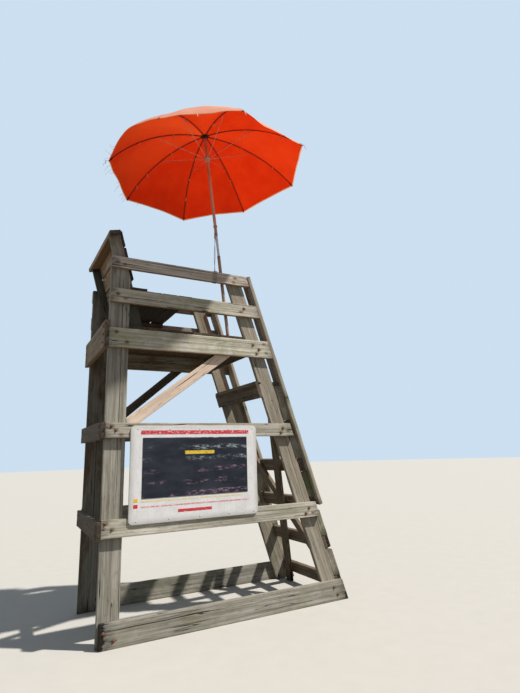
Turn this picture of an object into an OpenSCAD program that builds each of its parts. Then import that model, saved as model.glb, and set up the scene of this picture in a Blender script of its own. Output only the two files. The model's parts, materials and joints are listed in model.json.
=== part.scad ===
// Timber beach watch stand: two plank side frames with a raked ladder front, a railed deck
// that holds a bench with a leaning back, a hanging notice board and a tied beach umbrella.
// Units are millimetres. +X is the way the seat faces, +Y is the sitter's left, +Z is up.
// The origin lies on the ground, midway along the skids and midway between the sides.

/* [Stand] */
// Overall width across the outer faces of the side rails
stand_w = 1120; // [900:10:1400]
// Length of the skids, from the back of the posts to their front tips
skid_l = 2456; // [2300:10:2800]
// Thickness of the sawn planks
plank_t = 38; // [32:1:45]
// Depth of a skid plank standing on its edge
skid_h = 190; // [140:5:235]

/* [Posts and legs] */
// Width of the upright rear post planks
post_w = 178; // [140:1:200]
// Height of the rear posts
post_h = 3262; // [3230:1:3266]
// Width of the raked front leg planks
leg_w = 158; // [120:1:170]
// Distance from the front tips of the skids to the back edge of the legs at the ground
leg_set = 247; // [200:1:300]
// Rake of the front legs from the upright
leg_rake = 18.3; // [17:0.1:19]
// Width of the flat battens that run up the front of the legs
batten_w = 140; // [100:1:150]
// Height of the foot of the lower battens
batten_low_z = 931; // [860:1:1000]
// Height of the joint between the lower and upper battens
batten_joint_z = 2007; // [1800:1:2100]
// Height of the top of the upper battens
batten_top_z = 3267; // [3240:1:3300]

/* [Side rails] */
// Underside of the bottom rails
bottom_rail_z = 812; // [760:1:860]
// Depth of the bottom rails
bottom_rail_h = 144; // [90:1:160]
// Underside of the middle rails
middle_rail_z = 1615; // [1560:1:1640]
// Depth of the middle rails
middle_rail_h = 128; // [90:1:160]
// Underside of the deck rails
deck_rail_z = 2408; // [2380:1:2440]
// Depth of the deck rails
deck_rail_h = 178; // [140:1:190]
// Underside of the bench rails
bench_rail_z = 2825; // [2780:1:2880]
// Depth of the bench rails
bench_rail_h = 133; // [90:1:160]
// Upper edge of the arm rails
arm_rail_top = 3267; // [3240:1:3290]
// Depth of the right arm rail
right_arm_h = 110; // [90:1:120]
// Depth of the left arm rail
left_arm_h = 134; // [90:1:140]

/* [Rear cross rails] */
// Underside of the lowest cross rail
rear_bottom_z = 794; // [750:1:850]
// Depth of the lowest and middle cross rails
rear_rail_h = 148; // [90:1:160]
// Underside of the middle cross rail
rear_middle_z = 1604; // [1550:1:1650]
// Underside of the wide cross rail behind the deck
rear_deck_z = 2404; // [2380:1:2440]
// Depth of the wide cross rail behind the deck
rear_deck_h = 245; // [180:1:290]

/* [Deck, bench and back] */
// Thickness of the deck and bench boards
board_t = 25; // [18:1:38]
// Width of one deck or bench board
board_w = 140; // [90:1:190]
// Depth of the open deck in front of the bench
foot_room = 555.5; // [450:0.5:700]
// Lean of the back from the upright
back_lean = 14.85; // [10:0.1:18]
// Height of the top front corner of the back
back_top_z = 3552; // [3500:1:3600]
// Distance from the back of the posts to that corner
back_top_x = 66; // [50:1:75]
// Width of the right leaning upright
back_upright_w = 106; // [80:1:120]
// Distance that the left end of the back lies behind its right end
back_skew = 28; // [0:1:40]
// Width of the cap board on the uprights
cap_w = 102; // [80:1:120]
// Width of one back slat
slat_w = 150; // [110:1:155]
// Thickness of the back slats
slat_t = 25; // [18:1:38]
// Gap between back slats
slat_gap = 19; // [5:1:25]

/* [Footrest and ladder] */
// Height of the top of the footrest boards
footrest_z = 2169; // [2100:1:2200]
// Depth of the beam under the back of the footrest
footrest_beam_h = 123; // [90:1:150]
// Height of the top of the lowest rung
first_rung_z = 213; // [180:1:260]
// Rise from one rung to the next
rung_rise = 388; // [360:1:395]
// Width of one rung plank
rung_w = 128; // [90:1:140]
// Width of the two crossed planks behind the rungs
cross_w = 89; // [60:1:120]

/* [Side braces] */
// Width of the right brace
right_brace_w = 100; // [80:1:120]
// Slope of the right brace from the level
right_brace_slope = 36.6; // [35:0.1:38]
// Width of the left brace
left_brace_w = 86; // [70:1:120]
// Slope of the left brace from the level
left_brace_slope = 40.3; // [38:0.1:42]
// Distance from the back of the posts to the foot of the left brace
left_brace_x = 128; // [60:1:140]

/* [Notice board] */
// Width of the white board
sign_w = 1221; // [900:1:1250]
// Height of the white board
sign_h = 820; // [780:1:850]
// Thickness of the white board
sign_t = 12; // [6:1:18]
// Radius of the corners of the white board
sign_r = 42; // [20:1:80]
// Width of the dark writing panel
panel_w = 1005; // [700:1:1030]
// Height of the dark writing panel
panel_h = 509; // [400:1:540]
// Thickness of the dark writing panel
panel_t = 3; // [2:0.5:5]

/* [Umbrella] */
// Diameter of the lower half of the pole
pole_d = 34; // [28:1:38]
// Diameter of the upper half of the pole
pole_top_d = 32; // [28:1:36]
// Diameter of the metal tube that joins the halves
tube_d = 26; // [20:1:28]
// Backward tilt of the pole
pole_tilt = 6.2; // [4:0.1:7]
// Reach of each rib from the pole to its tip
canopy_r = 1042; // [800:1:1100]
// Fall of each rib from the top of the canopy to its tip
canopy_drop = 451; // [350:1:500]
// Thickness of a rib
rib_d = 5; // [4:0.5:8]
// Thickness of the canopy cloth as a solid
cloth_t = 3; // [2:0.5:5]

/* [Hidden] */

half_w = stand_w / 2;
frame_y = half_w - plank_t;      // outer face of posts and legs, inner face of the rails
inner_y = frame_y - plank_t;     // inner face of posts and legs
rake_run = tan(leg_rake);        // how far a leg leans back for each unit of height
leg_run = leg_w / cos(leg_rake); // level width of a leg plank
plank_run = plank_t / cos(leg_rake);
leg_x = skid_l - leg_set;        // back edge of the legs at the ground, from the back of the posts
leg_front_x = leg_x + leg_run;   // their front edge there
batten_x = leg_front_x + 2 * plank_run; // back face of the battens at the ground
deck_z = deck_rail_z + deck_rail_h;     // underside of the deck boards
deck_top_z = deck_z + board_t;
lean_run = tan(back_lean);
plank_gap = 3;                   // the open joint between plank ends
loose = 0.8;                     // clearance of a notch round a plank, or of a packing block
brace_above = 40;                // from the middle rail up to the foot of the right brace's upper edge
brace_below = 20;                // from the deck boards down to the top of the right brace
board_gap = 5;                   // least gap between deck or bench boards
deck_beam_lift = 20;             // from the underside of the deck rails up to the beam
bench_back = 10;                 // from the posts to the bench
bench_inset = 60;                // how far the ends of its boards lie in from the rails' outer faces
post_cut = 14;                   // how far the cut of a post lies behind the face of the back

weathered = "#7d7a6b";
pale = "#a49c8a";
brown = "#6b5643";
new_pine = "#d9bd97";

// x of a raked line that stands at x0 on the ground, at height z
function raked(x0, z) = x0 - z * rake_run;
// x of the front face of the leaning back at height z
function lean_x(z) = back_top_x + (back_top_z - z) * lean_run;

// Shifts the stand so that x is counted from the back of the posts
module from_posts() { translate([-skid_l / 2, 0, 0]) children(); }
// Turns a piece of the left side into its twin on the right
module on_side(side) { if (side == "right") mirror([0, 1, 0]) children(); else children(); }
// A plank cut to an outline in X and Z, between the planes y0 and y0 + t
module side_plank(outline, y0, t = plank_t)
  from_posts() translate([0, y0 + t, 0]) rotate([90, 0, 0]) linear_extrude(t) polygon(outline);
// A raked strip between heights z0 and z1, with level ends
function raked_strip(x0, run, z0, z1) = [[raked(x0, z0), z0], [raked(x0 + run, z0), z0],
  [raked(x0 + run, z1), z1], [raked(x0, z1), z1]];
// A plank that lies across the stand on a raked plane, its top edge at height z_top
module raked_cross(x0, z_top, w, t, y_half)
  from_posts() translate([raked(x0, z_top), -y_half, z_top]) rotate([0, -leg_rake, 0])
    translate([0, 0, -w]) cube([t, 2 * y_half, w]);

module skid(side) color(weathered) on_side(side)
  side_plank([[0, 0], [skid_l, 0], [skid_l - skid_h * rake_run, skid_h], [0, skid_h]], frame_y);

// The rear post: its top front corner is cut away along the lean of the back
module post(side) {
  corner_z = back_top_z - (post_w + post_cut - back_top_x) / lean_run;
  color(weathered) on_side(side)
    side_plank([[0, 0], [post_w, 0], [post_w, corner_z], [lean_x(post_h) - post_cut, post_h], [0, post_h]],
      inner_y);
}

module leg(side) color(pale) on_side(side)
  side_plank(raked_strip(leg_x, leg_run, 0, post_h), inner_y);

// Packing blocks between the leg and its batten, one in each space between two rungs
module leg_blocks(side) {
  lift = plank_t * sin(leg_rake);
  below = rung_w * cos(leg_rake);
  foot = [0, for (i = [0:4]) first_rung_z + i * rung_rise + lift + loose];
  head = [for (i = [0:4]) first_rung_z + i * rung_rise - below - loose, footrest_z - plank_t];
  color(pale) on_side(side) for (i = [0:5])
    side_plank(raked_strip(leg_front_x, 2 * plank_run, foot[i], head[i]), inner_y);
}

module battens(side) color(pale) on_side(side) {
  side_plank(raked_strip(batten_x, plank_run, batten_low_z, batten_joint_z - plank_gap),
    half_w - batten_w, batten_w);
  side_plank(raked_strip(batten_x, plank_run, batten_joint_z, batten_top_z), half_w - batten_w, batten_w);
}

// A level side rail whose front end is cut to the rake, short of the batten by a gap
module side_rail(side, z, h, short) color(weathered) on_side(side)
  side_plank([[0, z], [raked(batten_x, z) - short, z], [raked(batten_x, z + h) - short, z + h], [0, z + h]],
    frame_y);

module rear_rail(z, h) color(brown)
  from_posts() translate([-plank_t, -half_w, z]) cube([plank_t, stand_w, h]);
module rear_rails() {
  rear_rail(rear_bottom_z, rear_rail_h);
  rear_rail(rear_middle_z, rear_rail_h);
}

// The point of the leaning back that lies out in front of its face and down from its top
function lean_at(out, down) = [back_top_x + out * cos(back_lean) + down * sin(back_lean),
  back_top_z + out * sin(back_lean) - down * cos(back_lean)];
// How far down the lean, from its top, a line that lies out in front of the face meets height z
function lean_down(out, z) = (back_top_z + out * sin(back_lean) - z) / cos(back_lean);

// Leaning uprights stand on the deck boards against the inner faces of the posts. The left one
// is narrower, so that the back lies askew
module back_uprights() {
  color(weathered) for (side = ["right", "left"]) on_side(side)
    let(face = side == "left" ? -back_skew : 0)
      side_plank([lean_at(-back_upright_w, lean_down(-back_upright_w, deck_top_z)),
        lean_at(face, lean_down(face, deck_top_z)), lean_at(face, plank_t),
        lean_at(-back_upright_w, plank_t)], inner_y - plank_t);
}

// Stands at the top of the leaning back with Z up the lean, skewed from the right upright to
// the left end
module at_back_top() {
  skew = back_skew / (2 * inner_y - plank_t);
  from_posts() translate([back_top_x, 0, back_top_z]) rotate([0, -back_lean, 0])
    multmatrix([[1, -skew, 0, -skew * (inner_y - plank_t)], [0, 1, 0, 0], [0, 0, 1, 0]]) children();
}

module back_slats() color(brown) at_back_top() for (i = [0:2])
  translate([0, -inner_y, -slat_w - i * (slat_w + slat_gap)]) cube([slat_t, 2 * inner_y, slat_w]);

// The cap board lies on the ends of the uprights
module back_cap() color(brown) at_back_top()
  translate([-cap_w, -frame_y, -plank_t]) cube([cap_w, 2 * frame_y, plank_t]);

// Boards laid across the rails between x and x + span, as many as fit, evenly spaced; their
// ends lie inset from the rails' outer faces, except for the first board's
module board_row(x, span, z, inset) {
  count = floor((span + board_gap) / (board_w + board_gap));
  pitch = (span - board_w) / max(count - 1, 1);
  from_posts() for (i = [0:count - 1])
    let(reach = i == 0 ? half_w : half_w - inset)
      translate([x + i * pitch, -reach, z]) cube([board_w, 2 * reach, board_t]);
}

// The deck boards lie on the deck rails, from the posts to the legs
module deck_boards() {
  start = post_w + board_gap;
  color(brown) board_row(start, raked(leg_x, deck_top_z) - board_gap - start, deck_z, 0);
}

bench_x = post_w + bench_back;                   // back edge of the bench
bench_depth = raked(leg_x, deck_top_z) - foot_room - bench_x;
// Square cleats along the inner faces of the bench rails carry the ends of the bench boards
module bench_cleats() {
  start = post_w + plank_gap;
  color(brown) for (side = ["right", "left"]) on_side(side) from_posts()
    translate([start, inner_y, bench_rail_z + bench_rail_h - plank_t])
      cube([bench_x + bench_depth - start, plank_t, plank_t]);
}

// The bench boards lie on the rails and cleats; the first is notched round the leaning uprights
module bench_boards() {
  z = bench_rail_z + bench_rail_h;
  low = z - loose;
  high = z + board_t + loose;
  color(brown) difference() {
    board_row(bench_x, bench_depth, z, bench_inset);
    for (side = ["right", "left"]) on_side(side)
      let(face = side == "left" ? -back_skew : 0, front = lean_at(face, lean_down(face, z))[0] + loose)
        side_plank([[0, low], [front, low], [front, high], [0, high]],
          inner_y - plank_t - loose, plank_t + 2 * loose);
  }
}

module deck_beam() {
  low = deck_rail_z + deck_beam_lift;
  color(brown) side_plank(raked_strip(leg_x - plank_run, plank_run, low, deck_z), -frame_y, 2 * frame_y);
}

module footrest_beam() {
  top = footrest_z - plank_t;
  color(brown)
    side_plank(raked_strip(leg_x - plank_run, plank_run, top - footrest_beam_h, top), -frame_y, 2 * frame_y);
}

// Two footrest boards on the beam, notched round the leg planks
module footrest_boards() {
  low = footrest_z - plank_t;
  back = raked(leg_x - plank_run, low);
  front = raked(batten_x, footrest_z) - loose;
  board = (front - back - plank_gap) / 2;
  color(brown) difference() {
    for (i = [0:1]) from_posts()
      translate([back + i * (board + plank_gap), -frame_y, low]) cube([board, 2 * frame_y, plank_t]);
    for (s = [-1, 1])
      side_plank(raked_strip(leg_x - loose, leg_run + 2 * loose, low - plank_t, footrest_z + plank_t),
        s * (frame_y + inner_y) / 2 - plank_t / 2 - loose, plank_t + 2 * loose);
  }
}

module rung(i) color(brown)
  raked_cross(leg_front_x, first_rung_z + (i - 1) * rung_rise, rung_w, plank_t, frame_y);

// One of two planks that cross behind the rungs. Its middle line meets the right leg at height
// right_z and the left leg at left_z; it is cut off at the legs, the ground and the footrest
module cross_plank(right_z, left_z, depth) {
  turn = atan2(left_z - right_z, 2 * inner_y);
  run = (2 * inner_y + cross_w) / cos(turn);
  color(brown) from_posts() multmatrix([[1, 0, -rake_run, 0], [0, 1, 0, 0], [0, 0, 1, 0]])
    intersection() {
      translate([leg_front_x - depth - plank_run, 0, (right_z + left_z) / 2]) rotate([turn, 0, 0])
        translate([0, -run / 2, -cross_w / 2]) cube([plank_run, run, cross_w]);
      translate([0, -inner_y, 0]) cube([2 * skid_l, 2 * inner_y, footrest_z - plank_t]);
    }
}

// The right brace lies in the plane of the posts, from the middle rail up to the deck rail. On
// a short stand it is steeper, so that it still reaches the deck rail
module right_brace() {
  foot_x = post_w + plank_gap;
  foot_z = middle_rail_z + middle_rail_h + brace_above;
  top_z = deck_z - brace_below;
  stop_x = leg_x - plank_run - plank_gap;       // the raked line behind the deck beam, at the ground
  slope = max(right_brace_slope, atan2(top_z - foot_z, raked(stop_x, top_z) - foot_x));
  rise = tan(slope);
  depth = right_brace_w / cos(slope);
  climb = (stop_x - foot_x) * rise;
  color(new_pine) on_side("right") intersection() {
    side_plank([[foot_x, foot_z], [foot_x, foot_z - depth], [stop_x, foot_z - depth + climb],
      [stop_x, foot_z + climb]], inner_y);
    side_plank([[0, 0], [stop_x, 0], [raked(stop_x, top_z), top_z], [0, top_z]], 0, half_w);
  }
}

// The left brace is nailed to the outer face of the post, between the middle and the deck rail
module left_brace() {
  run = (deck_rail_z - middle_rail_z - middle_rail_h) / tan(left_brace_slope);
  depth = left_brace_w / sin(left_brace_slope);
  low = middle_rail_z + middle_rail_h;
  color(brown) side_plank([[left_brace_x, low], [left_brace_x + depth, low],
    [left_brace_x + depth + run, deck_rail_z], [left_brace_x + run, deck_rail_z]], frame_y);
}

sign_x = 210;                                  // from the back of the posts
sign_top = 1717;                               // height of its top edge
module notice_board() color("white") from_posts()
  translate([sign_x + sign_r, -half_w, sign_top - sign_h + sign_r]) rotate([90, 0, 0])
    linear_extrude(sign_t) offset(r = sign_r, $fn = 64) square([sign_w - 2 * sign_r, sign_h - 2 * sign_r]);

panel_drop = 104;                              // below the top edge of the board
module writing_panel() color("#1b1f2e") from_posts()
  translate([sign_x + (sign_w - panel_w) / 2, -half_w - sign_t, sign_top - panel_drop - panel_h])
    rotate([90, 0, 0]) linear_extrude(panel_t) square([panel_w, panel_h]);

pole_gap = 10.8;                               // from the top of the leg back to the pole
pole_play = 0.5;                               // from the side rails to the pole
// The middle of the pole at the deck, with x from the back of the posts
pole_foot = [raked(leg_x, post_h) + (post_h - deck_top_z) * tan(pole_tilt)
  - pole_d / 2 / cos(pole_tilt) - pole_gap, -(frame_y - pole_d / 2 - pole_play), deck_top_z];
crown_rise = 2245;                             // from the foot to the level where the ribs meet
hub_low = 26;                                  // the hub reaches this far below that level
hub_r = 24;
hub_top = 2;
cap_low = 7.3;                                 // the cap above the cloth
cap_h = 5;
spike_r = 7;
spike_h = 60;
runner_drop = 261;                             // from that level down to the stretchers' feet
runner_low = 45;                               // the runner reaches this far below them
runner_r = 21;
flange_r = 32;                                 // its flange carries the stretchers
flange_h = 20;
tube_rise = 865;                               // where the lower half of the pole ends
tube_l = 225;                                  // the length of tube that shows between the halves
rib_arc_r = (canopy_r * canopy_r + canopy_drop * canopy_drop) / (2 * canopy_drop);
rib_arc = asin(canopy_r / rib_arc_r);
rib_joint_r = 544;                             // reach of the rib joint from the pole
rib_turn = -2.5;                               // turns the ribs about the pole
cloth_rings = 12;
cloth_lift = 1.3;                              // from the ribs up to the cloth's rings
snug = 0.3;                                    // clearance of a thing that fits on the pole

// Stands at the foot of the pole, with Z along it
module at_pole() from_posts() translate(pole_foot) rotate([0, -pole_tilt, 0]) children();
// Depth of the rib arc below the hub at reach r
function rib_fall(r) = rib_arc_r - sqrt(rib_arc_r * rib_arc_r - r * r);

// Stands where the ribs meet, with Z along the pole
module at_crown() at_pole() translate([0, 0, crown_rise]) children();

module umbrella_pole() color(brown) at_pole() difference() {
  union() {
    cylinder(d = pole_d, h = tube_rise, $fn = 48);
    translate([0, 0, tube_rise]) cylinder(d = tube_d, h = tube_l, $fn = 48);
    translate([0, 0, tube_rise + tube_l])
      cylinder(d = pole_top_d, h = crown_rise - hub_low - tube_rise - tube_l, $fn = 48);
  }
  rotate([0, pole_tilt, 0]) translate([0, 0, -pole_d])
    cube([4 * pole_d, 4 * pole_d, 2 * pole_d], center = true);
}

// The hub under the cloth, the spike through it and the cap above it
module umbrella_hub() color("#2b2523") at_crown() {
  translate([0, 0, -hub_low]) cylinder(r = hub_r, h = hub_low + hub_top, $fn = 48);
  cylinder(r = spike_r, h = spike_h, $fn = 32);
  translate([0, 0, cap_low]) cylinder(r = hub_r, h = cap_h, $fn = 48);
}

module umbrella_runner() {
  height = runner_low + flange_h / 2;
  color("#cfcac0") at_crown() translate([0, 0, -runner_drop - runner_low]) difference() {
    union() {
      cylinder(r = runner_r, h = height, $fn = 48);
      translate([0, 0, height - flange_h]) cylinder(r = flange_r, h = flange_h, $fn = 48);
    }
    translate([0, 0, -1]) cylinder(d = pole_top_d + 2 * snug, h = height + 2, $fn = 48);
  }
}

module umbrella_ribs() {
  start = asin((hub_r + snug) / rib_arc_r);
  color("#3a2a26") at_crown() for (i = [0:7])
    rotate([0, 0, rib_turn + 45 * i]) translate([0, 0, -rib_arc_r]) rotate([90, 0, 0])
      rotate([0, 0, 90 - rib_arc]) rotate_extrude(angle = rib_arc - start, $fn = 300)
        translate([rib_arc_r, 0]) circle(d = rib_d, $fn = 24);
}

module umbrella_stretchers() {
  from = [flange_r + snug, -runner_drop];
  to = [rib_joint_r, -rib_fall(rib_joint_r) - rib_d - snug];
  run = to - from;
  color("#8a6a58") at_crown() for (i = [0:7])
    rotate([0, 0, rib_turn + 45 * i]) translate([from[0], 0, from[1]])
      rotate([0, 90 - atan2(run[1], run[0]), 0]) cylinder(d = rib_d, h = norm(run), $fn = 24);
}

// The cloth: eight flat-sided gores over the ribs, as one closed skin of even thickness
module umbrella_canopy() {
  lift = rib_d / 2 + cloth_lift;
  first = asin((spike_r + 2) / rib_arc_r);     // angle of the first ring, round the spike
  ring_at = [for (j = [0:cloth_rings]) first + (rib_arc - first) * j / cloth_rings];
  point_on = function(a, i, out) let(r = rib_arc_r + lift + out)
    [r * sin(a) * cos(45 * i), r * sin(a) * sin(45 * i), r * cos(a) - rib_arc_r];
  n = 8;
  m = cloth_rings + 1;
  inner = [for (a = ring_at) for (i = [0:n - 1]) point_on(a, i, 0)];
  outer = [for (a = ring_at) for (i = [0:n - 1]) point_on(a, i, cloth_t)];
  skin = [for (j = [0:cloth_rings - 1]) for (i = [0:n - 1])
    let(k = (i + 1) % n, a = j * n + i, b = j * n + k, c = (j + 1) * n + k, d = (j + 1) * n + i)
      [a, b, c, d]];
  quads = concat([for (q = skin) [q[0], q[1], q[2]]], [for (q = skin) [q[0], q[2], q[3]]],
    [for (q = skin) [q[2] + n * m, q[1] + n * m, q[0] + n * m]],
    [for (q = skin) [q[3] + n * m, q[2] + n * m, q[0] + n * m]],
    [for (i = [0:n - 1]) let(k = (i + 1) % n) [i, i + n * m, k + n * m]],
    [for (i = [0:n - 1]) let(k = (i + 1) % n) [i, k + n * m, k]],
    [for (i = [0:n - 1]) let(k = (i + 1) % n, e = cloth_rings * n) [e + k, e + k + n * m, e + i + n * m]],
    [for (i = [0:n - 1]) let(k = (i + 1) % n, e = cloth_rings * n) [e + k, e + i + n * m, e + i]]);
  color("#d8401c") at_crown() rotate([0, 0, rib_turn])
    polyhedron(concat(inner, outer), quads);
}

// The rope that ties the pole to the right arm rail: turns round the rail, a doubled
// lead up to the pole and a ring of turns above the pole's tube
rope_d = 6;
rope_turns = 4;
rope_pitch = 13;
tie_x = pole_foot[0] - 137;                    // of the foremost turn, from the back of the posts
tie_rise = 1186;                               // from the foot of the pole to the ring of turns
module tie_rope() color("#b9a37e") {
  rail_low = arm_rail_top - right_arm_h;
  ring_z = pole_foot[2] + tie_rise * cos(pole_tilt);
  ring_x = pole_foot[0] - tie_rise * sin(pole_tilt);
  low = [tie_x - rope_pitch * (rope_turns - 1) / 2, -half_w + plank_t / 2, arm_rail_top + rope_d + snug];
  beside = max(pole_d / 2, pole_top_d / 2 + rope_d) + snug + rope_d / 2;
  high = [ring_x, pole_foot[1] - beside, ring_z + rope_d];
  run = high - low;
  from_posts() for (i = [0:rope_turns - 1])
    translate([tie_x - i * rope_pitch, -half_w - rope_d, rail_low - rope_d]) difference() {
      cube([rope_d, plank_t + 2 * rope_d, right_arm_h + 2 * rope_d]);
      translate([-1, rope_d, rope_d]) cube([rope_d + 2, plank_t, right_arm_h]);
    }
  from_posts() translate(low) for (s = [-1, 1]) translate([s * (rope_d + snug) / 2, 0, 0])
    rotate([0, acos(run[2] / norm(run)), atan2(run[1], run[0])])
      cylinder(d = rope_d, h = norm(run), $fn = 24);
  at_pole() translate([0, 0, tie_rise]) difference() {
    cylinder(d = pole_top_d + 2 * rope_d + 2 * snug, h = 2 * rope_d, $fn = 48);
    translate([0, 0, -1]) cylinder(d = pole_top_d + 2 * snug, h = 2 * rope_d + 2, $fn = 48);
  }
}

skid("right");  // right_skid
skid("left");  // left_skid
post("right");  // right_post
post("left");  // left_post
leg("right");  // right_leg
leg("left");  // left_leg
leg_blocks("right");  // right_leg_blocks
leg_blocks("left");  // left_leg_blocks
battens("right");  // right_battens
battens("left");  // left_battens
side_rail("right", bottom_rail_z, bottom_rail_h, 40);  // right_bottom_rail
side_rail("left", bottom_rail_z, bottom_rail_h, 40);  // left_bottom_rail
side_rail("right", middle_rail_z, middle_rail_h, 46);  // right_middle_rail
side_rail("left", middle_rail_z, middle_rail_h, 46);  // left_middle_rail
side_rail("right", deck_rail_z, deck_rail_h, 0);  // right_deck_rail
side_rail("left", deck_rail_z, deck_rail_h, 0);  // left_deck_rail
side_rail("right", bench_rail_z, bench_rail_h, 0);  // right_bench_rail
side_rail("left", bench_rail_z, bench_rail_h, 0);  // left_bench_rail
side_rail("right", arm_rail_top - right_arm_h, right_arm_h, 8);  // right_arm_rail
side_rail("left", arm_rail_top - left_arm_h, left_arm_h, 8);  // left_arm_rail
rear_rails();
rear_rail(rear_deck_z, rear_deck_h);  // rear_deck_rail
back_uprights();
back_slats();
back_cap();
deck_boards();
deck_beam();
bench_boards();
bench_cleats();
footrest_beam();
footrest_boards();
rung(1);  // rung_1
rung(2);  // rung_2
rung(3);  // rung_3
rung(4);  // rung_4
rung(5);  // rung_5
cross_plank(230, 1582, 0);  // cross_plank_a
cross_plank(2052, -312, plank_run);  // cross_plank_b
right_brace();
left_brace();
notice_board();
writing_panel();
umbrella_pole();
umbrella_hub();
umbrella_runner();
umbrella_ribs();
umbrella_stretchers();
umbrella_canopy();
tie_rope();
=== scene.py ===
# %% [markdown]
# A tall timber watch stand, about three metres of weathered planks with an umbrella above it.
# The sizes and the place of every piece come from a packed model, the frame. This file gives
# those pieces their real surfaces. Each cell makes one thing and prints what it made.

# %% Load the frame
import json
import math
import bpy
import numpy as np
from mathutils import Matrix, Vector


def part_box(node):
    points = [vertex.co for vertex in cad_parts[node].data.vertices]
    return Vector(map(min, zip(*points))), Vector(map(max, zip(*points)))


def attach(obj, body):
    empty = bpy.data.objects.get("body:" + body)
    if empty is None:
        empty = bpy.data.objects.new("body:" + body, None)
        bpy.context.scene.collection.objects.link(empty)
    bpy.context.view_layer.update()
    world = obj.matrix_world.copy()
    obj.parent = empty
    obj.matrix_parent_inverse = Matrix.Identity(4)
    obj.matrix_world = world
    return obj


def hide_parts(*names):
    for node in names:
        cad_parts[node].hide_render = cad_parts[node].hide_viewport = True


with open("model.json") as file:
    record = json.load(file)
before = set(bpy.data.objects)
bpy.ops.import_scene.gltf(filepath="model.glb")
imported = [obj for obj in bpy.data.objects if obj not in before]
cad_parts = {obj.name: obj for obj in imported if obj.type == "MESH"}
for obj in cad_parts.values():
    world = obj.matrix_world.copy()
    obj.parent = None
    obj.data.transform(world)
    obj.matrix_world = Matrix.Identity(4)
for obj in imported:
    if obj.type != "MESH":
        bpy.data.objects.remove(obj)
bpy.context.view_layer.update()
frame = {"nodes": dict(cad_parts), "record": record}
slot_of = {part["node"]: part["material_slot"] for part in frame["record"]["subparts"]}

# %% [markdown]
# The camera stands low, behind the right side of the stand, and looks up at it. Its place and
# angles were solved from the straight edges of the planks. A camera looks along its own -Z, so
# it is rolled about that axis first, then tipped up from looking at the ground, then turned.

# %% Place the camera
camera_at = (-1.9736, -4.7037, 1.4614)
camera_yaw = math.radians(28.554)      # from +Y towards +X
camera_pitch = math.radians(12.718)    # upwards
camera_roll = math.radians(-1.711)


def add_to_scene(name, data):
    """A new object, linked to the scene."""
    thing = bpy.data.objects.new(name, data)
    bpy.context.scene.collection.objects.link(thing)
    return thing


camera = add_to_scene("camera", bpy.data.cameras.new("camera"))
camera.data.sensor_fit = "HORIZONTAL"
camera.data.sensor_width = 36
camera.data.lens = 32.4
camera.matrix_world = (
    Matrix.Translation(camera_at) @ Matrix.Rotation(-camera_yaw, 4, "Z")
    @ Matrix.Rotation(math.pi / 2 + camera_pitch, 4, "X") @ Matrix.Rotation(camera_roll, 4, "Z")
)
bpy.context.scene.camera = camera
print("camera looks along", [round(-v, 3) for v in camera.matrix_world.col[2][:3]])

# %% [markdown]
# A material is a small graph of nodes. It could be wired up by hand in the editor, but written
# as text it reads like a formula. What comes out of a node is a Signal here, and sums and
# products of signals add Math nodes by themselves. A Finish holds one graph: add() makes a node
# and wires up what it is given, and the other calls are common nodes.

# %% Write nodes as sums
class Signal:
    """What comes out of a node. [] picks one of the node's outputs, unpacking gives them all, and
    arithmetic adds Math nodes."""

    def __init__(self, finish, socket):
        self.finish = finish
        self.socket = socket

    def __getitem__(self, output):
        return Signal(self.finish, self.socket.node.outputs[output])

    def __add__(self, other):
        return self.finish.math("ADD", self, other)

    def __sub__(self, other):
        return self.finish.math("SUBTRACT", self, other)

    def __mul__(self, other):
        return self.finish.math("MULTIPLY", self, other)

    def __truediv__(self, other):
        return self.finish.math("DIVIDE", self, other)


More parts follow.
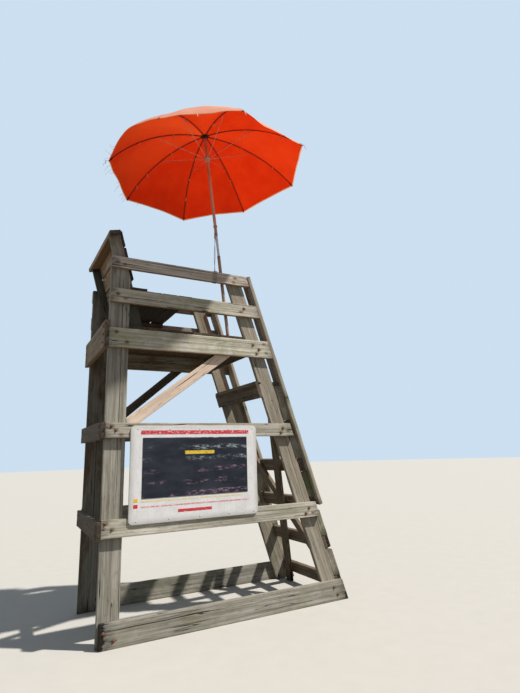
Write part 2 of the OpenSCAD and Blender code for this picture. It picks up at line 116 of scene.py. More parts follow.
class Finish:
    """A material, or the world, under construction; slot is its name in the record."""

    def __init__(self, name, slot=None, blocks=bpy.data.materials, shader="Principled BSDF"):
        self.block = blocks.new(name)
        self.block.use_nodes = True
        self.slot = slot
        self.tree = self.block.node_tree
        self.shader = self.tree.nodes[shader]

    def put(self, socket, value):
        if isinstance(value, Signal):
            self.tree.links.new(value.socket, socket)
        else:
            socket.default_value = (*value, 1) if socket.type == "RGBA" else value

    def add(self, kind, sockets, **settings):
        node = self.tree.nodes.new("ShaderNode" + kind)
        for key, value in settings.items():
            setattr(node, key, value)
        for key, value in sockets.items():
            self.put(node.inputs[key], value)
        return Signal(self, node.outputs[0])

    def math(self, operation, a, b=0.0, clamp=False):
        return self.add("Math", {0: a, 1: b}, operation=operation, use_clamp=clamp)

    def steps(self, value, low, high, to_low=0.0, to_high=1.0):
        """value carried from the range low..high to to_low..to_high, with soft ends."""
        sockets = {"Value": value, "From Min": low, "From Max": high, "To Min": to_low, "To Max": to_high}
        return self.add("MapRange", sockets, interpolation_type="SMOOTHSTEP")

    def mix(self, share, a, b, blend="MIX"):
        return self.add("Mix", {0: share, 6: a, 7: b}, data_type="RGBA", blend_type=blend)[2]

    def coats(self, colour, *layers):
        """colour under one coat after another, each given as a share and a colour."""
        for share, over in layers:
            colour = self.mix(share, colour, over)
        return colour

    def noise(self, vector, scale, detail=3.0, roughness=0.5, offset=(0, 0, 0)):
        """Noise of one scale, or of three scales that draw it out differently along X, Y and Z."""
        if np.ndim(scale):
            vector = self.add("Mapping", {"Vector": vector, "Scale": scale, "Location": offset})
            scale = 1.0
        sockets = {"Vector": vector, "Scale": scale, "Detail": detail, "Roughness": roughness}
        return self.add("TexNoise", sockets)

    def attribute(self, name, output="Fac"):
        return self.add("Attribute", {}, attribute_name=name)[output]

    def place(self):
        return self.add("TexCoord", {})["Object"]

    def bump(self, height, depth):
        return self.add("Bump", {"Height": height, "Distance": depth, "Strength": 1.0})

    def seen(self):
        """1 for what the camera sees, straight or in metal or glass, and 0 for light that bounces."""
        rays = self.add("LightPath", {})
        straight_or_gloss = rays["Is Camera Ray"] + rays["Is Glossy Ray"]
        return self.math("ADD", straight_or_gloss, rays["Is Transmission Ray"], clamp=True)

    def wear(self, **sockets):
        for key, value in sockets.items():
            self.put(self.shader.inputs[key.replace("_", " ")], value)
        return self

    def blend(self, share, other, end="Material Output"):
        """The shader mixed with another one, which shows by share."""
        both = self.add("MixShader", {0: share, 1: Signal(self, self.shader.outputs[0]), 2: other})
        self.put(self.tree.nodes[end].inputs["Surface"], both)


print("a finish is written as", len([key for key in vars(Finish) if key[0] != "_"]), "short calls")

# %% [markdown]
# Light. A sun lamp with soft shadows comes from high on the front right, from where the umbrella
# throws its shade across the side rails, as it does outdoors. A pale world fills the shadows
# evenly. What the camera sees behind the stand is a brighter world than the one that lights it,
# so that no lamp has to be turned up for a pale background.

# %% Light the stand
to_sun = Vector((1.32, -1.0, 2.7)).normalized()
sun = add_to_scene("sun", bpy.data.lights.new("sun", "SUN"))
sun.data.energy = 5.5
sun.data.angle = math.radians(1.5)
sun.data.color = (1.0, 0.965, 0.91)
sun.rotation_mode = "QUATERNION"
sun.rotation_quaternion = to_sun.to_track_quat("Z", "Y")
bpy.context.scene.view_settings.view_transform = "Standard"
sky = Finish("pale_sky", None, bpy.data.worlds, "Background").wear(Color=(0.78, 0.89, 1.0), Strength=0.36)
backdrop = sky.add("Background", {"Color": (0.60, 0.74, 0.88), "Strength": 1.0})
sky.blend(sky.seen(), backdrop, "World Output")
bpy.context.scene.world = sky.block
print("sun stands", round(math.degrees(math.asin(to_sun.z))), "degrees high")

# %% [markdown]
# The floor is plain and pale. The undersides of the planks have to stay nearly black, so the
# floor shows its pale colour to the camera, and to mirrors and glass, but the light that
# bounces off it is that of a darker floor.

# %% Lay the floor
floor_radius = 60.0
floor_sides = 96
floor_paint = Finish("pale_floor")
floor_grain = floor_paint.noise(floor_paint.place(), 6.0, 4.0)
floor_shown = floor_paint.mix(floor_grain, (0.42, 0.40, 0.365), (0.46, 0.44, 0.405))
floor_tint = floor_paint.mix(floor_paint.seen(), (0.15, 0.135, 0.11), floor_shown)
floor_paint.wear(Base_Color=floor_tint, Roughness=0.9)
turn = np.linspace(0, 2 * np.pi, floor_sides, endpoint=False)
rim = np.stack([floor_radius * np.cos(turn), floor_radius * np.sin(turn), 0 * turn - 0.0005], -1)
floor = add_to_scene("floor", bpy.data.meshes.new("floor"))
floor.data.from_pydata(rim.tolist(), [], [list(range(floor_sides))])
floor.data.materials.append(floor_paint.block)
print("floor", 2 * floor_radius, "m across")

# %% [markdown]
# Weathered softwood. Sun bleaches the faces silver, rain leaves green in the shade, and the
# undersides keep their brown, made darker still as painted shade. The faces that look up are
# darkened as painted shade against the sun on them. The pattern has to run along each plank,
# whichever way the plank points, so the planks carry a field called grain: a point's distance
# along the plank, across it and through it. Growth rings are then real rings round a far-off
# heart: the distance from the plank's heart line, folded into bands. Faces show them as long
# flames and sawn ends as arcs. A Wave texture could draw bands more simply, but never both of
# those at once.
# Two more fields place what belongs to one plank alone: its long drying split, as a signed
# distance that stays exact between the points, and the rust that its bolts and nails have bled.

# %% Mix the timbers
moss_green = (0.155, 0.165, 0.075)
rust_brown = (0.080, 0.040, 0.020)
rot_black = (0.014, 0.010, 0.007)
gap_black = (0.018, 0.014, 0.010)
ring_folds = 125.0     # bands of growth, light and dark, in a metre


def timber(name, pale, deep, under, bump_depth, gloss):
    """Sawn timber: pale is the bleached face, deep the lines in it, under the unbleached brown of
    undersides, made darker as painted shade. A ring is the square root of across squared plus
    through squared, bent by a slow noise and by knots; a split is where a distance is small beside the
    split's own width."""
    f = Finish(name, name)
    pale, deep, under = np.array([pale, deep, under])
    grain = f.attribute("grain", "Vector")
    tone, arris, tip, moss, warm = (f.attribute(key) for key in ("tone", "arris", "tip", "moss", "warm"))
    along, across, through = f.add("SeparateXYZ", {0: grain})
    drift = f.noise(grain, (0.9, 3.5, 3.5))
    fibre = f.noise(grain, (5.0, 330.0, 330.0), 4.0, 0.6)
    streak = f.noise(grain, (1.1, 42.0, 42.0), 5.0, 0.6)
    cloud = f.noise(grain, (2.6, 9.0, 9.0), 5.0, 0.65, (3.1, 0.4, 0.7))
    blotch = f.noise(grain, (10.0, 30.0, 30.0), 5.0, 0.65, (9.1, 3.4, 5.7))
    damp_patch = f.noise(f.place(), 5.0, 5.0, 0.65)
    knot_map = f.add("CombineXYZ", {0: along * 2.3, 1: across * 3.1})
    knot_at = f.add("TexVoronoi", {"Vector": knot_map, "Scale": 1.0})["Distance"]
    knot = f.steps(knot_at, 0.055, 0.020)
    heart = f.math("SQRT", across * across + through * through)
    bent = heart + (drift - 0.5) * 0.055 + f.steps(knot_at, 0.16, 0.03) * 0.012
    late = f.steps(f.math("PINGPONG", bent * ring_folds, 1.0), 0.55, 0.97)
    rot = f.steps(f.math("POWER", tip, 2.0) * 0.35 + blotch, 1.02, 1.12)
    rust = f.attribute("rust") + (streak - 0.5) * 0.9
    split_here = f.steps(f.noise(grain, (1.4, 9.0, 9.0), 2.0, 0.5, (1.7, 5.1, 2.2)), 0.50, 0.66)
    fine_gap = f.math("ABSOLUTE", f.noise(grain, (0.8, 30.0, 30.0), 1.5, 0.4, (7.7, 2.1, 1.3)) - 0.5)
    fine_split = f.steps(fine_gap / ((split_here + tip * 0.7) * 0.011 + 0.0004), 1.3, 0.5)
    long_gap = f.math("ABSOLUTE", f.attribute("split_off") + (fibre - 0.5) * 0.003)
    long_split = f.steps(long_gap / (f.attribute("split_wide") + 0.00002), 1.25, 0.6)
    split = f.math("MAXIMUM", fine_split, long_split)
    facing = f.add("SeparateXYZ", {0: f.add("NewGeometry", {})["Normal"]})[2]
    colour = f.coats(
        f.mix(f.steps(streak, 0.30, 0.70), deep, pale),
        (late * 0.30, deep),
        (f.steps(fibre, 0.40, 0.72, 0.0, 0.42), 0.42 * deep),
        (f.steps(cloud, 0.48, 0.74, 0.0, 0.55), 0.62 * pale),
        (f.steps(blotch, 0.52, 0.72, 0.0, 0.55), 0.5 * deep),
        (warm * f.steps(cloud, 0.60, 0.38, 0.25, 1.0), 1.35 * under),
        (moss * f.steps(damp_patch, 0.34, 0.62, 0.1, 1.0), moss_green),
        # undersides: their unbleached brown, made darker still as painted shade
        (f.steps(facing, -0.35, -0.9, 0.0, 0.85), 1.7 * under),
        # faces that look up: darkened as painted shade against the sun on them
        (f.steps(facing, 0.45, 0.95, 0.0, 0.55), 0.6 * deep),
        (arris * f.steps(streak, 0.35, 0.65, 0.15, 0.65), 1.25 * under),
        (tip * f.steps(blotch, 0.35, 0.65, 0.35, 0.92), 0.35 * deep),
        (rot * 0.95, rot_black),
        (knot * 0.85, 0.35 * under),
        (f.steps(rust, 0.30, 1.10, 0.0, 0.75), rust_brown),
        (split * 0.92, gap_black),
    )
    colour = f.mix(1.0, colour, f.add("CombineColor", {0: tone, 1: tone, 2: tone}), "MULTIPLY")
    relief = late * 0.35 + fibre * 0.45 - split * 1.6 - knot * 0.3 - rot * 2.5
    f.wear(Base_Color=colour, Normal=f.bump(relief, bump_depth), Specular_IOR_Level=0.25)
    return f.wear(Roughness=f.steps(streak, 0.2, 0.8, gloss, gloss + 0.14))


timber_table = {
    "grey_timber": ((0.63, 0.59, 0.52), (0.275, 0.25, 0.21), (0.12, 0.072, 0.036), 0.0018, 0.78),
    "pale_timber": ((0.68, 0.61, 0.51), (0.37, 0.32, 0.25), (0.20, 0.125, 0.065), 0.0018, 0.78),
    "brown_timber": ((0.46, 0.37, 0.28), (0.19, 0.135, 0.09), (0.095, 0.055, 0.026), 0.0018, 0.78),
    "new_pine": ((0.92, 0.75, 0.62), (0.76, 0.57, 0.43), (0.50, 0.33, 0.19), 0.0007, 0.6),
    "pole_wood": ((0.58, 0.37, 0.26), (0.33, 0.20, 0.135), (0.24, 0.14, 0.09), 0.0004, 0.5),
}
timbers = {name: timber(name, *row) for name, row in timber_table.items()}
print("timbers:", sorted(timbers))

# %% [markdown]
# Every closed surface here is a stack of rings: a board's ring, a profile carried along a path,
# or a profile turned about an axis. One function closes such a stack into a skin, and another
# lays many skins one after another in a single mesh, which is the finished piece. Blender's
# own screw and curve tools could do much of it, but rings from a formula can also taper, roll
# and stop at a cut.

# %% Close rings and make pieces of them
def smooth_wave(x, seed, count=5, low=0.5, high=4.0):
    """Smooth made-up noise from -1 to 1: the mean of a few sines of x with seeded pitch and phase."""
    draw = np.random.default_rng(seed)
    pitch = draw.uniform(low, high, count) * 2 * np.pi
    phase = draw.uniform(0, 2 * np.pi, count)
    return np.sin(np.asarray(x)[..., None] * pitch + phase).mean(-1) * 1.6


def close_rings(rings, hubs=None):
    """The closed skin of rings (m, n, 3): quads between neighbours and a fan over each end. The
    signed volume, the sum of the triple products of the corners, tells if the faces must turn."""
    m, n = rings.shape[:2]
    points = np.concatenate([rings.reshape(-1, 3), rings[[0, -1]].mean(1) if hubs is None else hubs])
    i, j = np.meshgrid(np.arange(m - 1) * n, np.arange(n), indexing="ij")
    k = (j + 1) % n
    quads = np.stack([i + j, i + k, i + n + k, i + n + j], -1).reshape(-1, 4)
    j, k, hub, last = j[0], k[0], 0 * j[0] + m * n, (m - 1) * n
    fans = np.concatenate([np.stack([hub, k, j], -1), np.stack([hub + 1, last + j, last + k], -1)])
    corner = points[np.concatenate([quads[:, :3], quads[:, [0, 2, 3]], fans])] - points.mean(0)
    if np.einsum("ij,ij->", corner[:, 0], np.cross(corner[:, 1], corner[:, 2])) < 0:
        quads, fans = quads[:, ::-1], fans[:, ::-1]
    return points, quads, fans


def make_piece(name, skins, finish, replaces=(), fields=()):
    """A mesh object of skins: their points (n, 3) in metres one after another, and their faces
    counted on. fields are sets of named values at the points, laid end to end. The piece rides on
    the frame and may stand for nodes."""
    counts = np.cumsum([0] + [len(skin[0]) for skin in skins])
    faces = [block + count for skin, count in zip(skins, counts) for block in skin[1:]]
    points = np.concatenate([skin[0] for skin in skins])
    mesh = bpy.data.meshes.new(name)
    mesh.from_pydata(points.tolist(), [], [face for block in faces for face in block.tolist()])
    for key in fields[0] if fields else ():
        values = np.concatenate([field[key] for field in fields]).astype(np.float32)
        kind, part = ("FLOAT_VECTOR", "vector") if values.ndim == 2 else ("FLOAT", "value")
        mesh.attributes.new(key, kind, "POINT").data.foreach_set(part, values.ravel())
    mesh.polygons.foreach_set("use_smooth", np.full(len(mesh.polygons), True))
    mesh.validate()
    mesh.materials.append(finish.block)
    piece = add_to_scene(name, mesh)
    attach(piece, "root")
    if replaces:
        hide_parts(*replaces)
    return piece


small_tube = close_rings(np.arange(36.0).reshape(3, 4, 3))
print("3 rings of 4 points close into a skin of", len(small_tube[0]), "points")

# %% [markdown]
# Every plank of the frame is a straight sawn board, so one surface serves them all: a ring with
# round corners carried along the board. The frame says how each board lies. Its widest faces
# give the direction through the board, its long edges the direction across it, and a cut of its
# outline at each point tells where the surface has to stop, so raked ends and notches come out
# by themselves. The arrises are worn by an uneven amount, which a bevelled box never shows.

# %% Read the boards from the frame
def loose_parts(count, triangles):
    """A label for each point: the lowest index it can reach, found by giving both ends of every
    edge the lower of their labels until nothing changes."""
    label = np.arange(count)
    ends = np.concatenate([triangles[:, [0, 1]], triangles[:, [1, 2]]])
    while True:
        low = np.minimum(label[ends[:, 0]], label[ends[:, 1]])
        new = label.copy()
        np.minimum.at(new, ends[:, 0], low)
        np.minimum.at(new, ends[:, 1], low)
        if (new == label).all():
            return label
        label = new


def board_axes(triangles):
    """The directions along, across and through one board, as rows. The faces with the most area
    look through it, those with the most of what is square to them look across it, and the cross
    product of the two runs along it."""
    normal = np.cross(triangles[:, 1] - triangles[:, 0], triangles[:, 2] - triangles[:, 0])
    area = np.linalg.norm(normal, axis=1)
    normal, area = normal[area > 1e-9] / area[area > 1e-9, None], area[area > 1e-9]
    first = np.argmax(np.abs(normal) > 1e-3, axis=1)
    normal *= np.sign(normal[np.arange(len(normal)), first])[:, None]
    kinds, which = np.unique(np.round(normal, 2), axis=0, return_inverse=True)
    total = np.bincount(which.ravel(), area)
    through = normal[which.ravel() == np.argmax(total)][0]
    total[np.abs(kinds @ through) > 0.1] = 0
    across = normal[which.ravel() == np.argmax(total)][0]
    return np.stack([np.cross(across, through), across, through])


def read_boards(node):
    """The boards of a node: for each its axes, its triangle edges in those axes, and its lowest
    and highest corner in them."""
    mesh = frame["nodes"][node].data
    mesh.calc_loop_triangles()
    points = np.zeros(len(mesh.vertices) * 3, np.float32)
    mesh.vertices.foreach_get("co", points)
    corners = np.zeros(len(mesh.loop_triangles) * 3, np.int32)
    mesh.loop_triangles.foreach_get("vertices", corners)
    points, merged = np.unique(np.round(points.reshape(-1, 3).astype(float), 5), axis=0, return_inverse=True)
    triangles = merged.ravel()[corners.reshape(-1, 3)]
    label = loose_parts(len(points), triangles)
    boards = []
    for part in np.unique(label):
        own = points[triangles[label[triangles[:, 0]] == part]]
        axes = board_axes(own)
        local = own @ axes.T
        edges = np.concatenate([local[:, [0, 1]], local[:, [1, 2]], local[:, [2, 0]]])
        boards.append({"axes": axes, "edges": edges, "low": local.min((0, 1)), "high": local.max((0, 1))})
    return sorted(boards, key=lambda b: tuple(np.round(b["axes"].T @ (b["low"] + b["high"]) / 2, 3)))


def cut_range(edges, held, asked, at):
    """Where a plane across the board meets its outline: for each value in at, on axis held, the
    lowest and highest value on axis asked, found by sharing out every edge that the plane cuts."""
    a, b = edges[:, 0, held, None], edges[:, 1, held, None]
    slanted = np.abs(a - b) > 1e-7
    crossing = (np.minimum(a, b) <= at) & (np.maximum(a, b) >= at) & slanted
    share = (at - a) / np.where(slanted, b - a, 1)
    value = edges[:, 0, asked, None] + share * (edges[:, 1, asked] - edges[:, 0, asked])[:, None]
    return np.where(crossing, value, np.inf).min(0), np.where(crossing, value, -np.inf).max(0)


post = read_boards("right_post")[0]
print("the right post measures", np.round(post["high"] - post["low"], 3), "m")

# %% Draw the ring of a board
def board_ring(wide=10, thin=2, corner=2):
    """A rounded rectangle as rows of (side across, side through, out across, out through): a point
    is side * (half size - radius) + out * radius. Four straight sides and four corner arcs."""
    s = np.linspace(-1, 1, wide + 1)
    e = np.linspace(-1, 1, thin + 1)
    arc = np.radians(np.linspace(0, 90, corner + 2))[1:-1]
    one = np.ones_like
    c, d = np.cos(arc), np.sin(arc)
    sides = [
        (s, -one(s), 0 * s, -one(s)), (one(arc), -one(arc), d, -c),
        (one(e), e, one(e), 0 * e), (one(arc), one(arc), c, d),
        (-s, one(s), 0 * s, one(s)), (-one(arc), one(arc), -d, c),
        (-one(e), -e, -one(e), 0 * e), (-one(arc), -one(arc), -c, -d),
    ]
    return np.concatenate([np.stack(side, -1) for side in sides])


ring = board_ring()
corner_of_ring = (ring[:, 0] > 0) + 2 * (ring[:, 1] > 0)
on_corner = (np.abs(ring[:, 2] * ring[:, 3]) > 1e-6).astype(float)
print("a board's ring has", len(ring), "points")

# %% Space the rings along a board
station_gap = 0.055      # about, in metres
least_gap = 0.003
beside_a_step = 0.0004
from_the_end = 0.004
round_a_nail = np.array([-0.034, -0.021, -0.010, 0, 0.010, 0.021, 0.034])


def stations_along(board, notched, fixed_at):
    """Shares of the board's length. They are even, with more close to each bolt or nail, fixed_at,
    so that its stain has a round edge, or, on a notched board, on both sides of each step."""
    start, end = board["low"][0], board["high"][0]
    length = end - start
    stations = np.linspace(0, 1, max(6, int(length / station_gap)))
    if notched:
        steps = np.unique(np.round(board["edges"][..., 0], 4))[1:-1]
        beside = np.concatenate([steps - beside_a_step, steps + beside_a_step])
        return np.sort(np.concatenate([stations, (beside - start) / length]))
    near = (np.asarray(fixed_at)[:, None] + round_a_nail).ravel()
    near = (near[(near > start + from_the_end) & (near < end - from_the_end)] - start) / length
    stations = np.unique(np.round(np.concatenate([stations, near]) * length / least_gap) * least_gap / length)
    return np.append(stations[stations < 1 - least_gap / length], 1.0)


print("a ring about every", station_gap, "m")

# %% Wear the board and cut it to length
nick_width = 0.016
hollow_depth = 0.0007
tip_reach = 0.09         # how far in from its ends a board looks different


def worn_section(board, along, shrink, seed, worn, notched, draw):
    """Where the ring's points lie across and through the board at each station. Each corner's
    radius swells and thins by a wave of its own and has a few nicks, and the wide faces are
    slightly hollow. On a notched board the outline gives the width at each station."""
    low, high = board["low"], board["high"]
    half = (high - low)[1:] / 2
    corner_wear = np.stack([smooth_wave(along, seed * 7 + k, 6, 0.8, 7.0) for k in range(4)], -1)
    nick = draw.uniform(0, high[0] - low[0], (4, 2)) + low[0]
    nick_depth = draw.uniform(0.2, 1.4, (4, 2)) * worn
    dent = (nick_depth * np.exp(-(((along[:, None, None] - nick) / nick_width) ** 2))).sum(-1)
    radius = worn * (1.1 + 0.75 * corner_wear[:, corner_of_ring]) + dent[:, corner_of_ring]
    radius = np.minimum(np.clip(radius, 0.0006, 0.3 * half[1]), 0.45 * (half[1] - shrink))
    lowest, highest = low[1], high[1]
    if notched:
        cuts = cut_range(board["edges"], 0, 1, np.clip(along, low[0] + 1e-4, high[0] - 1e-4))
        lowest, highest = (side[:, None] for side in cuts)
    reach = (highest - lowest) / 2 - shrink
    across = (highest + lowest) / 2 + ring[:, 0] * (reach - radius) + ring[:, 2] * radius
    through = (high[2] + low[2]) / 2 + ring[:, 1] * (half[1] - shrink - radius) + ring[:, 3] * radius
    hollow = hollow_depth * (1 + smooth_wave(along, seed * 7 + 5, 4, 0.4, 3.0))[:, None]
    hollow = hollow * (1 - ring[:, 0] ** 2)
    return across, through - np.sign(ring[:, 1]) * np.abs(ring[:, 3]) * hollow


def sawn_ends(board, across, seed, notched, ragged):
    """Where the outline starts and ends at each place across it, less what has decayed."""
    low, high = board["low"], board["high"]
    if notched:
        start, end = np.full(across.shape, low[0]), np.full(across.shape, high[0])
    else:
        inner = np.clip(across, low[1] + 1e-4, high[1] - 1e-4)
        start, end = (v.reshape(across.shape) for v in cut_range(board["edges"], 1, 0, inner.ravel()))
    lost = ragged * (1 + smooth_wave(across, seed * 7 + 6, 5, 0.02, 0.09)) / 2
    return start + lost, end - lost


def stop_at_floor(board, place, across, through):
    """place, a distance along the board, moved up to where a standing board meets the floor."""
    up = board["axes"][:, 2]
    if abs(up[0]) < 0.2:
        return place
    floor_at = -(across * up[1] + through * up[2]) / up[0]
    return np.maximum(place, floor_at) if up[0] > 0 else np.minimum(place, floor_at)


def drawn_in(board, end_ring, sawn):
    """Two rings that draw a sawn end in towards the board's middle, and the point there."""
    middle = (board["high"] + board["low"])[1:] / 2
    order = np.argsort(end_ring[:, 1])
    rows = end_ring + ([0, *middle] - end_ring) * np.array([0.35, 0.7])[:, None, None]
    flat_end = np.interp(rows[..., 1], end_ring[order, 1], sawn[order])
    rows[..., 0] = stop_at_floor(board, flat_end, rows[..., 1], rows[..., 2])
    hub = np.interp(middle[0], end_ring[order, 1], sawn[order])
    return rows, [stop_at_floor(board, hub, *middle), *middle]


def to_nearer_end(board, local):
    """Each point's distance along the board to its nearer end."""
    return np.minimum(local[:, 0] - board["low"][0], board["high"][0] - local[:, 0])


middle_of_post = (post["low"] + post["high"])[1:2] / 2
post_ends = np.concatenate(sawn_ends(post, middle_of_post, 0, False, 0.0))
print("the right post is sawn off at", np.round(post_ends, 3), "m along it")

# %% Put a board's surface together
def board_surface(board, seed, worn=0.0028, notched=False, fixed_at=(), ragged=0.0):
    """The closed skin of one board, in its own axes, with three of its fields. Rings stand at
    stations along it; the first and last few shrink in a quarter circle to round the sawn end,
    then close towards the middle. A ring point's place along the board runs from the outline's
    start to its end at that point. A board that reaches the floor stops there at every point. A
    decayed board's ends are eaten away by up to ragged metres, unevenly across."""
    draw = np.random.default_rng(seed)
    low, high = board["low"], board["high"]
    stations = stations_along(board, notched, fixed_at)
    quarter = np.radians([90, 50, 20])
    level = 0 * stations
    end_radius = worn * 0.9
    shrink = end_radius * np.concatenate([1 - np.cos(quarter), level, 1 - np.cos(quarter[::-1])])
    inset = np.concatenate([1 - np.sin(quarter), level + 1, 0 * quarter + 1])[:, None]
    at = np.concatenate([0 * quarter, stations, 0 * quarter + 1])
    along = low[0] + at * (high[0] - low[0])
    across, through = worn_section(board, along, shrink[:, None], seed, worn, notched, draw)
    sawn_start, sawn_end = sawn_ends(board, across, seed, notched, ragged)
    start, end = (stop_at_floor(board, sawn, across, through) for sawn in (sawn_start, sawn_end))
    rounding = np.minimum(end_radius, (end - start) / 4)
    start, end = start + rounding * inset, end - rounding * inset[::-1]
    place = np.clip(along[:, None], start, end) if notched else start + (end - start) * at[:, None]
    rings = np.stack([place, across, through], -1)
    first_rows, first_hub = drawn_in(board, rings[0], sawn_start[0])
    last_rows, last_hub = drawn_in(board, rings[-1], sawn_end[-1])
    rows = np.concatenate([first_rows[::-1], rings, last_rows])
    local, quads, fans = close_rings(rows, np.array([first_hub, last_hub]))
    sawn_rows = np.zeros(2 * len(ring))
    heart = [draw.uniform(0, 40), draw.uniform(-0.06, 0.06), draw.choice([-1, 1]) * draw.uniform(0.035, 0.11)]
    return local, quads, fans, {
        "grain": local - [0, *(high + low)[1:] / 2] + heart,
        "arris": np.concatenate([sawn_rows, np.tile(on_corner, len(rings)), sawn_rows, [0, 0]]),
        "tip": np.clip(1 - to_nearer_end(board, local) / tip_reach, 0, 1),
    }


print("a post's skin has", len(board_surface(post, 1)[0]), "points")

# %% [markdown]
# Bolts and nails hold the stand. The side rails are bolted through posts and legs, with a hexagon
# head on a washer; boards, battens and slats are nailed. Their places are listed first, because
# each one stains the timber round it: every plank looks up the ones on its own face. X is
# counted from the back of the posts, as a carpenter would, and moved to the frame at the end.

# %% Measure where bolts and nails go
back_of_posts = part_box("right_post")[0].x
rake = math.radians(18.3)
rake_run = math.tan(rake)
lean = math.radians(14.85)
rail_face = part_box("notice_board")[1].y         # the outer face of the right side rails
leg_y = 0.503                                   # the middle of the post and leg planks
bolt_places = [
    (0.030, 0.930), (0.087, 0.882), (2.016, 0.899), (1.978, 0.852), (0.089, 1.681), (0.052, 1.716),
    (1.748, 1.694), (1.722, 1.650), (0.156, 2.458), (0.060, 2.545), (1.497, 2.493), (1.428, 2.535),
    (1.470, 2.450), (0.062, 2.902), (1.335, 2.912), (0.050, 0.120), (0.130, 0.060), (2.270, 0.130),
    (2.310, 0.060),
]
nail_places = [
    (1.557, 2.546), (1.578, 2.462), (0.125, 2.868), (1.296, 2.868), (0.054, 3.211), (0.112, 3.188),
    (1.238, 3.228), (1.214, 3.186), (0.130, 1.640), (1.800, 1.660), (2.060, 0.850),
]


def on_both_sides(places):
    """Places (x, z) put on the outer faces of both sides, with their outward directions."""
    x, z = np.array(places).T
    right = np.stack([x, 0 * x + rail_face, z], -1)
    out = np.tile([0.0, -1.0, 0.0], (len(x), 1))
    return np.concatenate([right, right * [1, -1, 1]]), np.concatenate([out, -out])


def in_rows(x, ys, z, out):
    """Every x, z pair at every y, all with the same outward direction."""
    x, ys, z = (np.atleast_1d(v) for v in (x, ys, z))
    places = np.stack([np.repeat(x, len(ys)), np.tile(ys, len(x)), np.repeat(z, len(ys))], -1)
    return places, np.tile(np.asarray(out, float), (len(places), 1))


def pairs_on_boards(first_edge, pitch, count):
    """The X of two nails in each board of a row, 42 mm before and behind the board's middle."""
    middles = first_edge + 0.07 + pitch * np.arange(count)[:, None]
    return (middles + [-0.042, 0.042]).ravel()


print(len(bolt_places), "bolts and", len(nail_places), "nails on each side frame")

# %% List the bolts and nails
sides = np.array([-1, 1])
out_of_rake = (math.cos(rake), 0, math.sin(rake))
out_of_slats = (math.cos(lean), 0, math.sin(lean))
batten_y = np.concatenate([0.49 * sides, 0.519 * sides])
batten_z = np.array([1.02, 1.31, 1.36, 1.69, 1.75, 1.95, 2.06, 2.42, 2.55, 2.86, 3.10, 3.22])
rung_z = np.array([0.185, 0.125, 0.573, 0.513])
batten_foot, rung_foot = 2.49546, 2.4154          # the X where each raked face would reach the floor
deck_x = pairs_on_boards(0.183, 0.14536, 8)
bench_x = pairs_on_boards(0.188, 0.154, 4)
deck_z, bench_z, footrest_z = 2.611, 2.983, 2.169
rear_z = np.array([0.838, 0.900, 1.646, 1.710, 2.45, 2.53, 2.60])
slat_down = np.array([0.035, 0.115, 0.204, 0.284, 0.373, 0.453])
slat_face = 0.025
slat_x = 0.066 + slat_face * math.cos(lean) + slat_down * math.sin(lean)
slat_z = 3.552 + slat_face * math.sin(lean) - slat_down * math.cos(lean)
bolt_sets = [on_both_sides(bolt_places), in_rows(0 * rear_z - 0.038, 0.49 * sides, rear_z, (-1, 0, 0))]
nail_sets = [
    on_both_sides(nail_places),
    in_rows(batten_foot - rake_run * batten_z, batten_y, batten_z, out_of_rake),
    in_rows(rung_foot - rake_run * rung_z, leg_y * sides, rung_z, out_of_rake),
    in_rows(deck_x, 0.541 * sides, 0 * deck_x + deck_z, (0, 0, 1)),
    in_rows(bench_x, 0.487 * sides, 0 * bench_x + bench_z, (0, 0, 1)),
    in_rows(slat_x, -0.465, slat_z, out_of_slats),
    in_rows(slat_x - 0.0286, 0.465, slat_z, out_of_slats),
    in_rows([1.484, 1.560], [-0.40, -0.13, 0.13, 0.40], [footrest_z, footrest_z], (0, 0, 1)),
]
bolts, bolts_out = (np.concatenate(part) for part in zip(*bolt_sets))
nails, nails_out = (np.concatenate(part) for part in zip(*nail_sets))
scatter = np.random.default_rng(5)
nails = nails + np.cross(nails_out, scatter.uniform(-0.007, 0.007, nails.shape)) + [back_of_posts, 0, 0]
bolts = bolts + [back_of_posts, 0, 0]
fixing_places = np.concatenate([bolts, nails])
print(len(bolts), "bolts and", len(nails), "nails")

# %% [markdown]
# No two planks weather alike. This table says how the ones that show most have aged: how light
# they are, how much green and how much brown they have, and where they have split. The rest draw
# theirs at random, seeded, within what is usual for their timber.

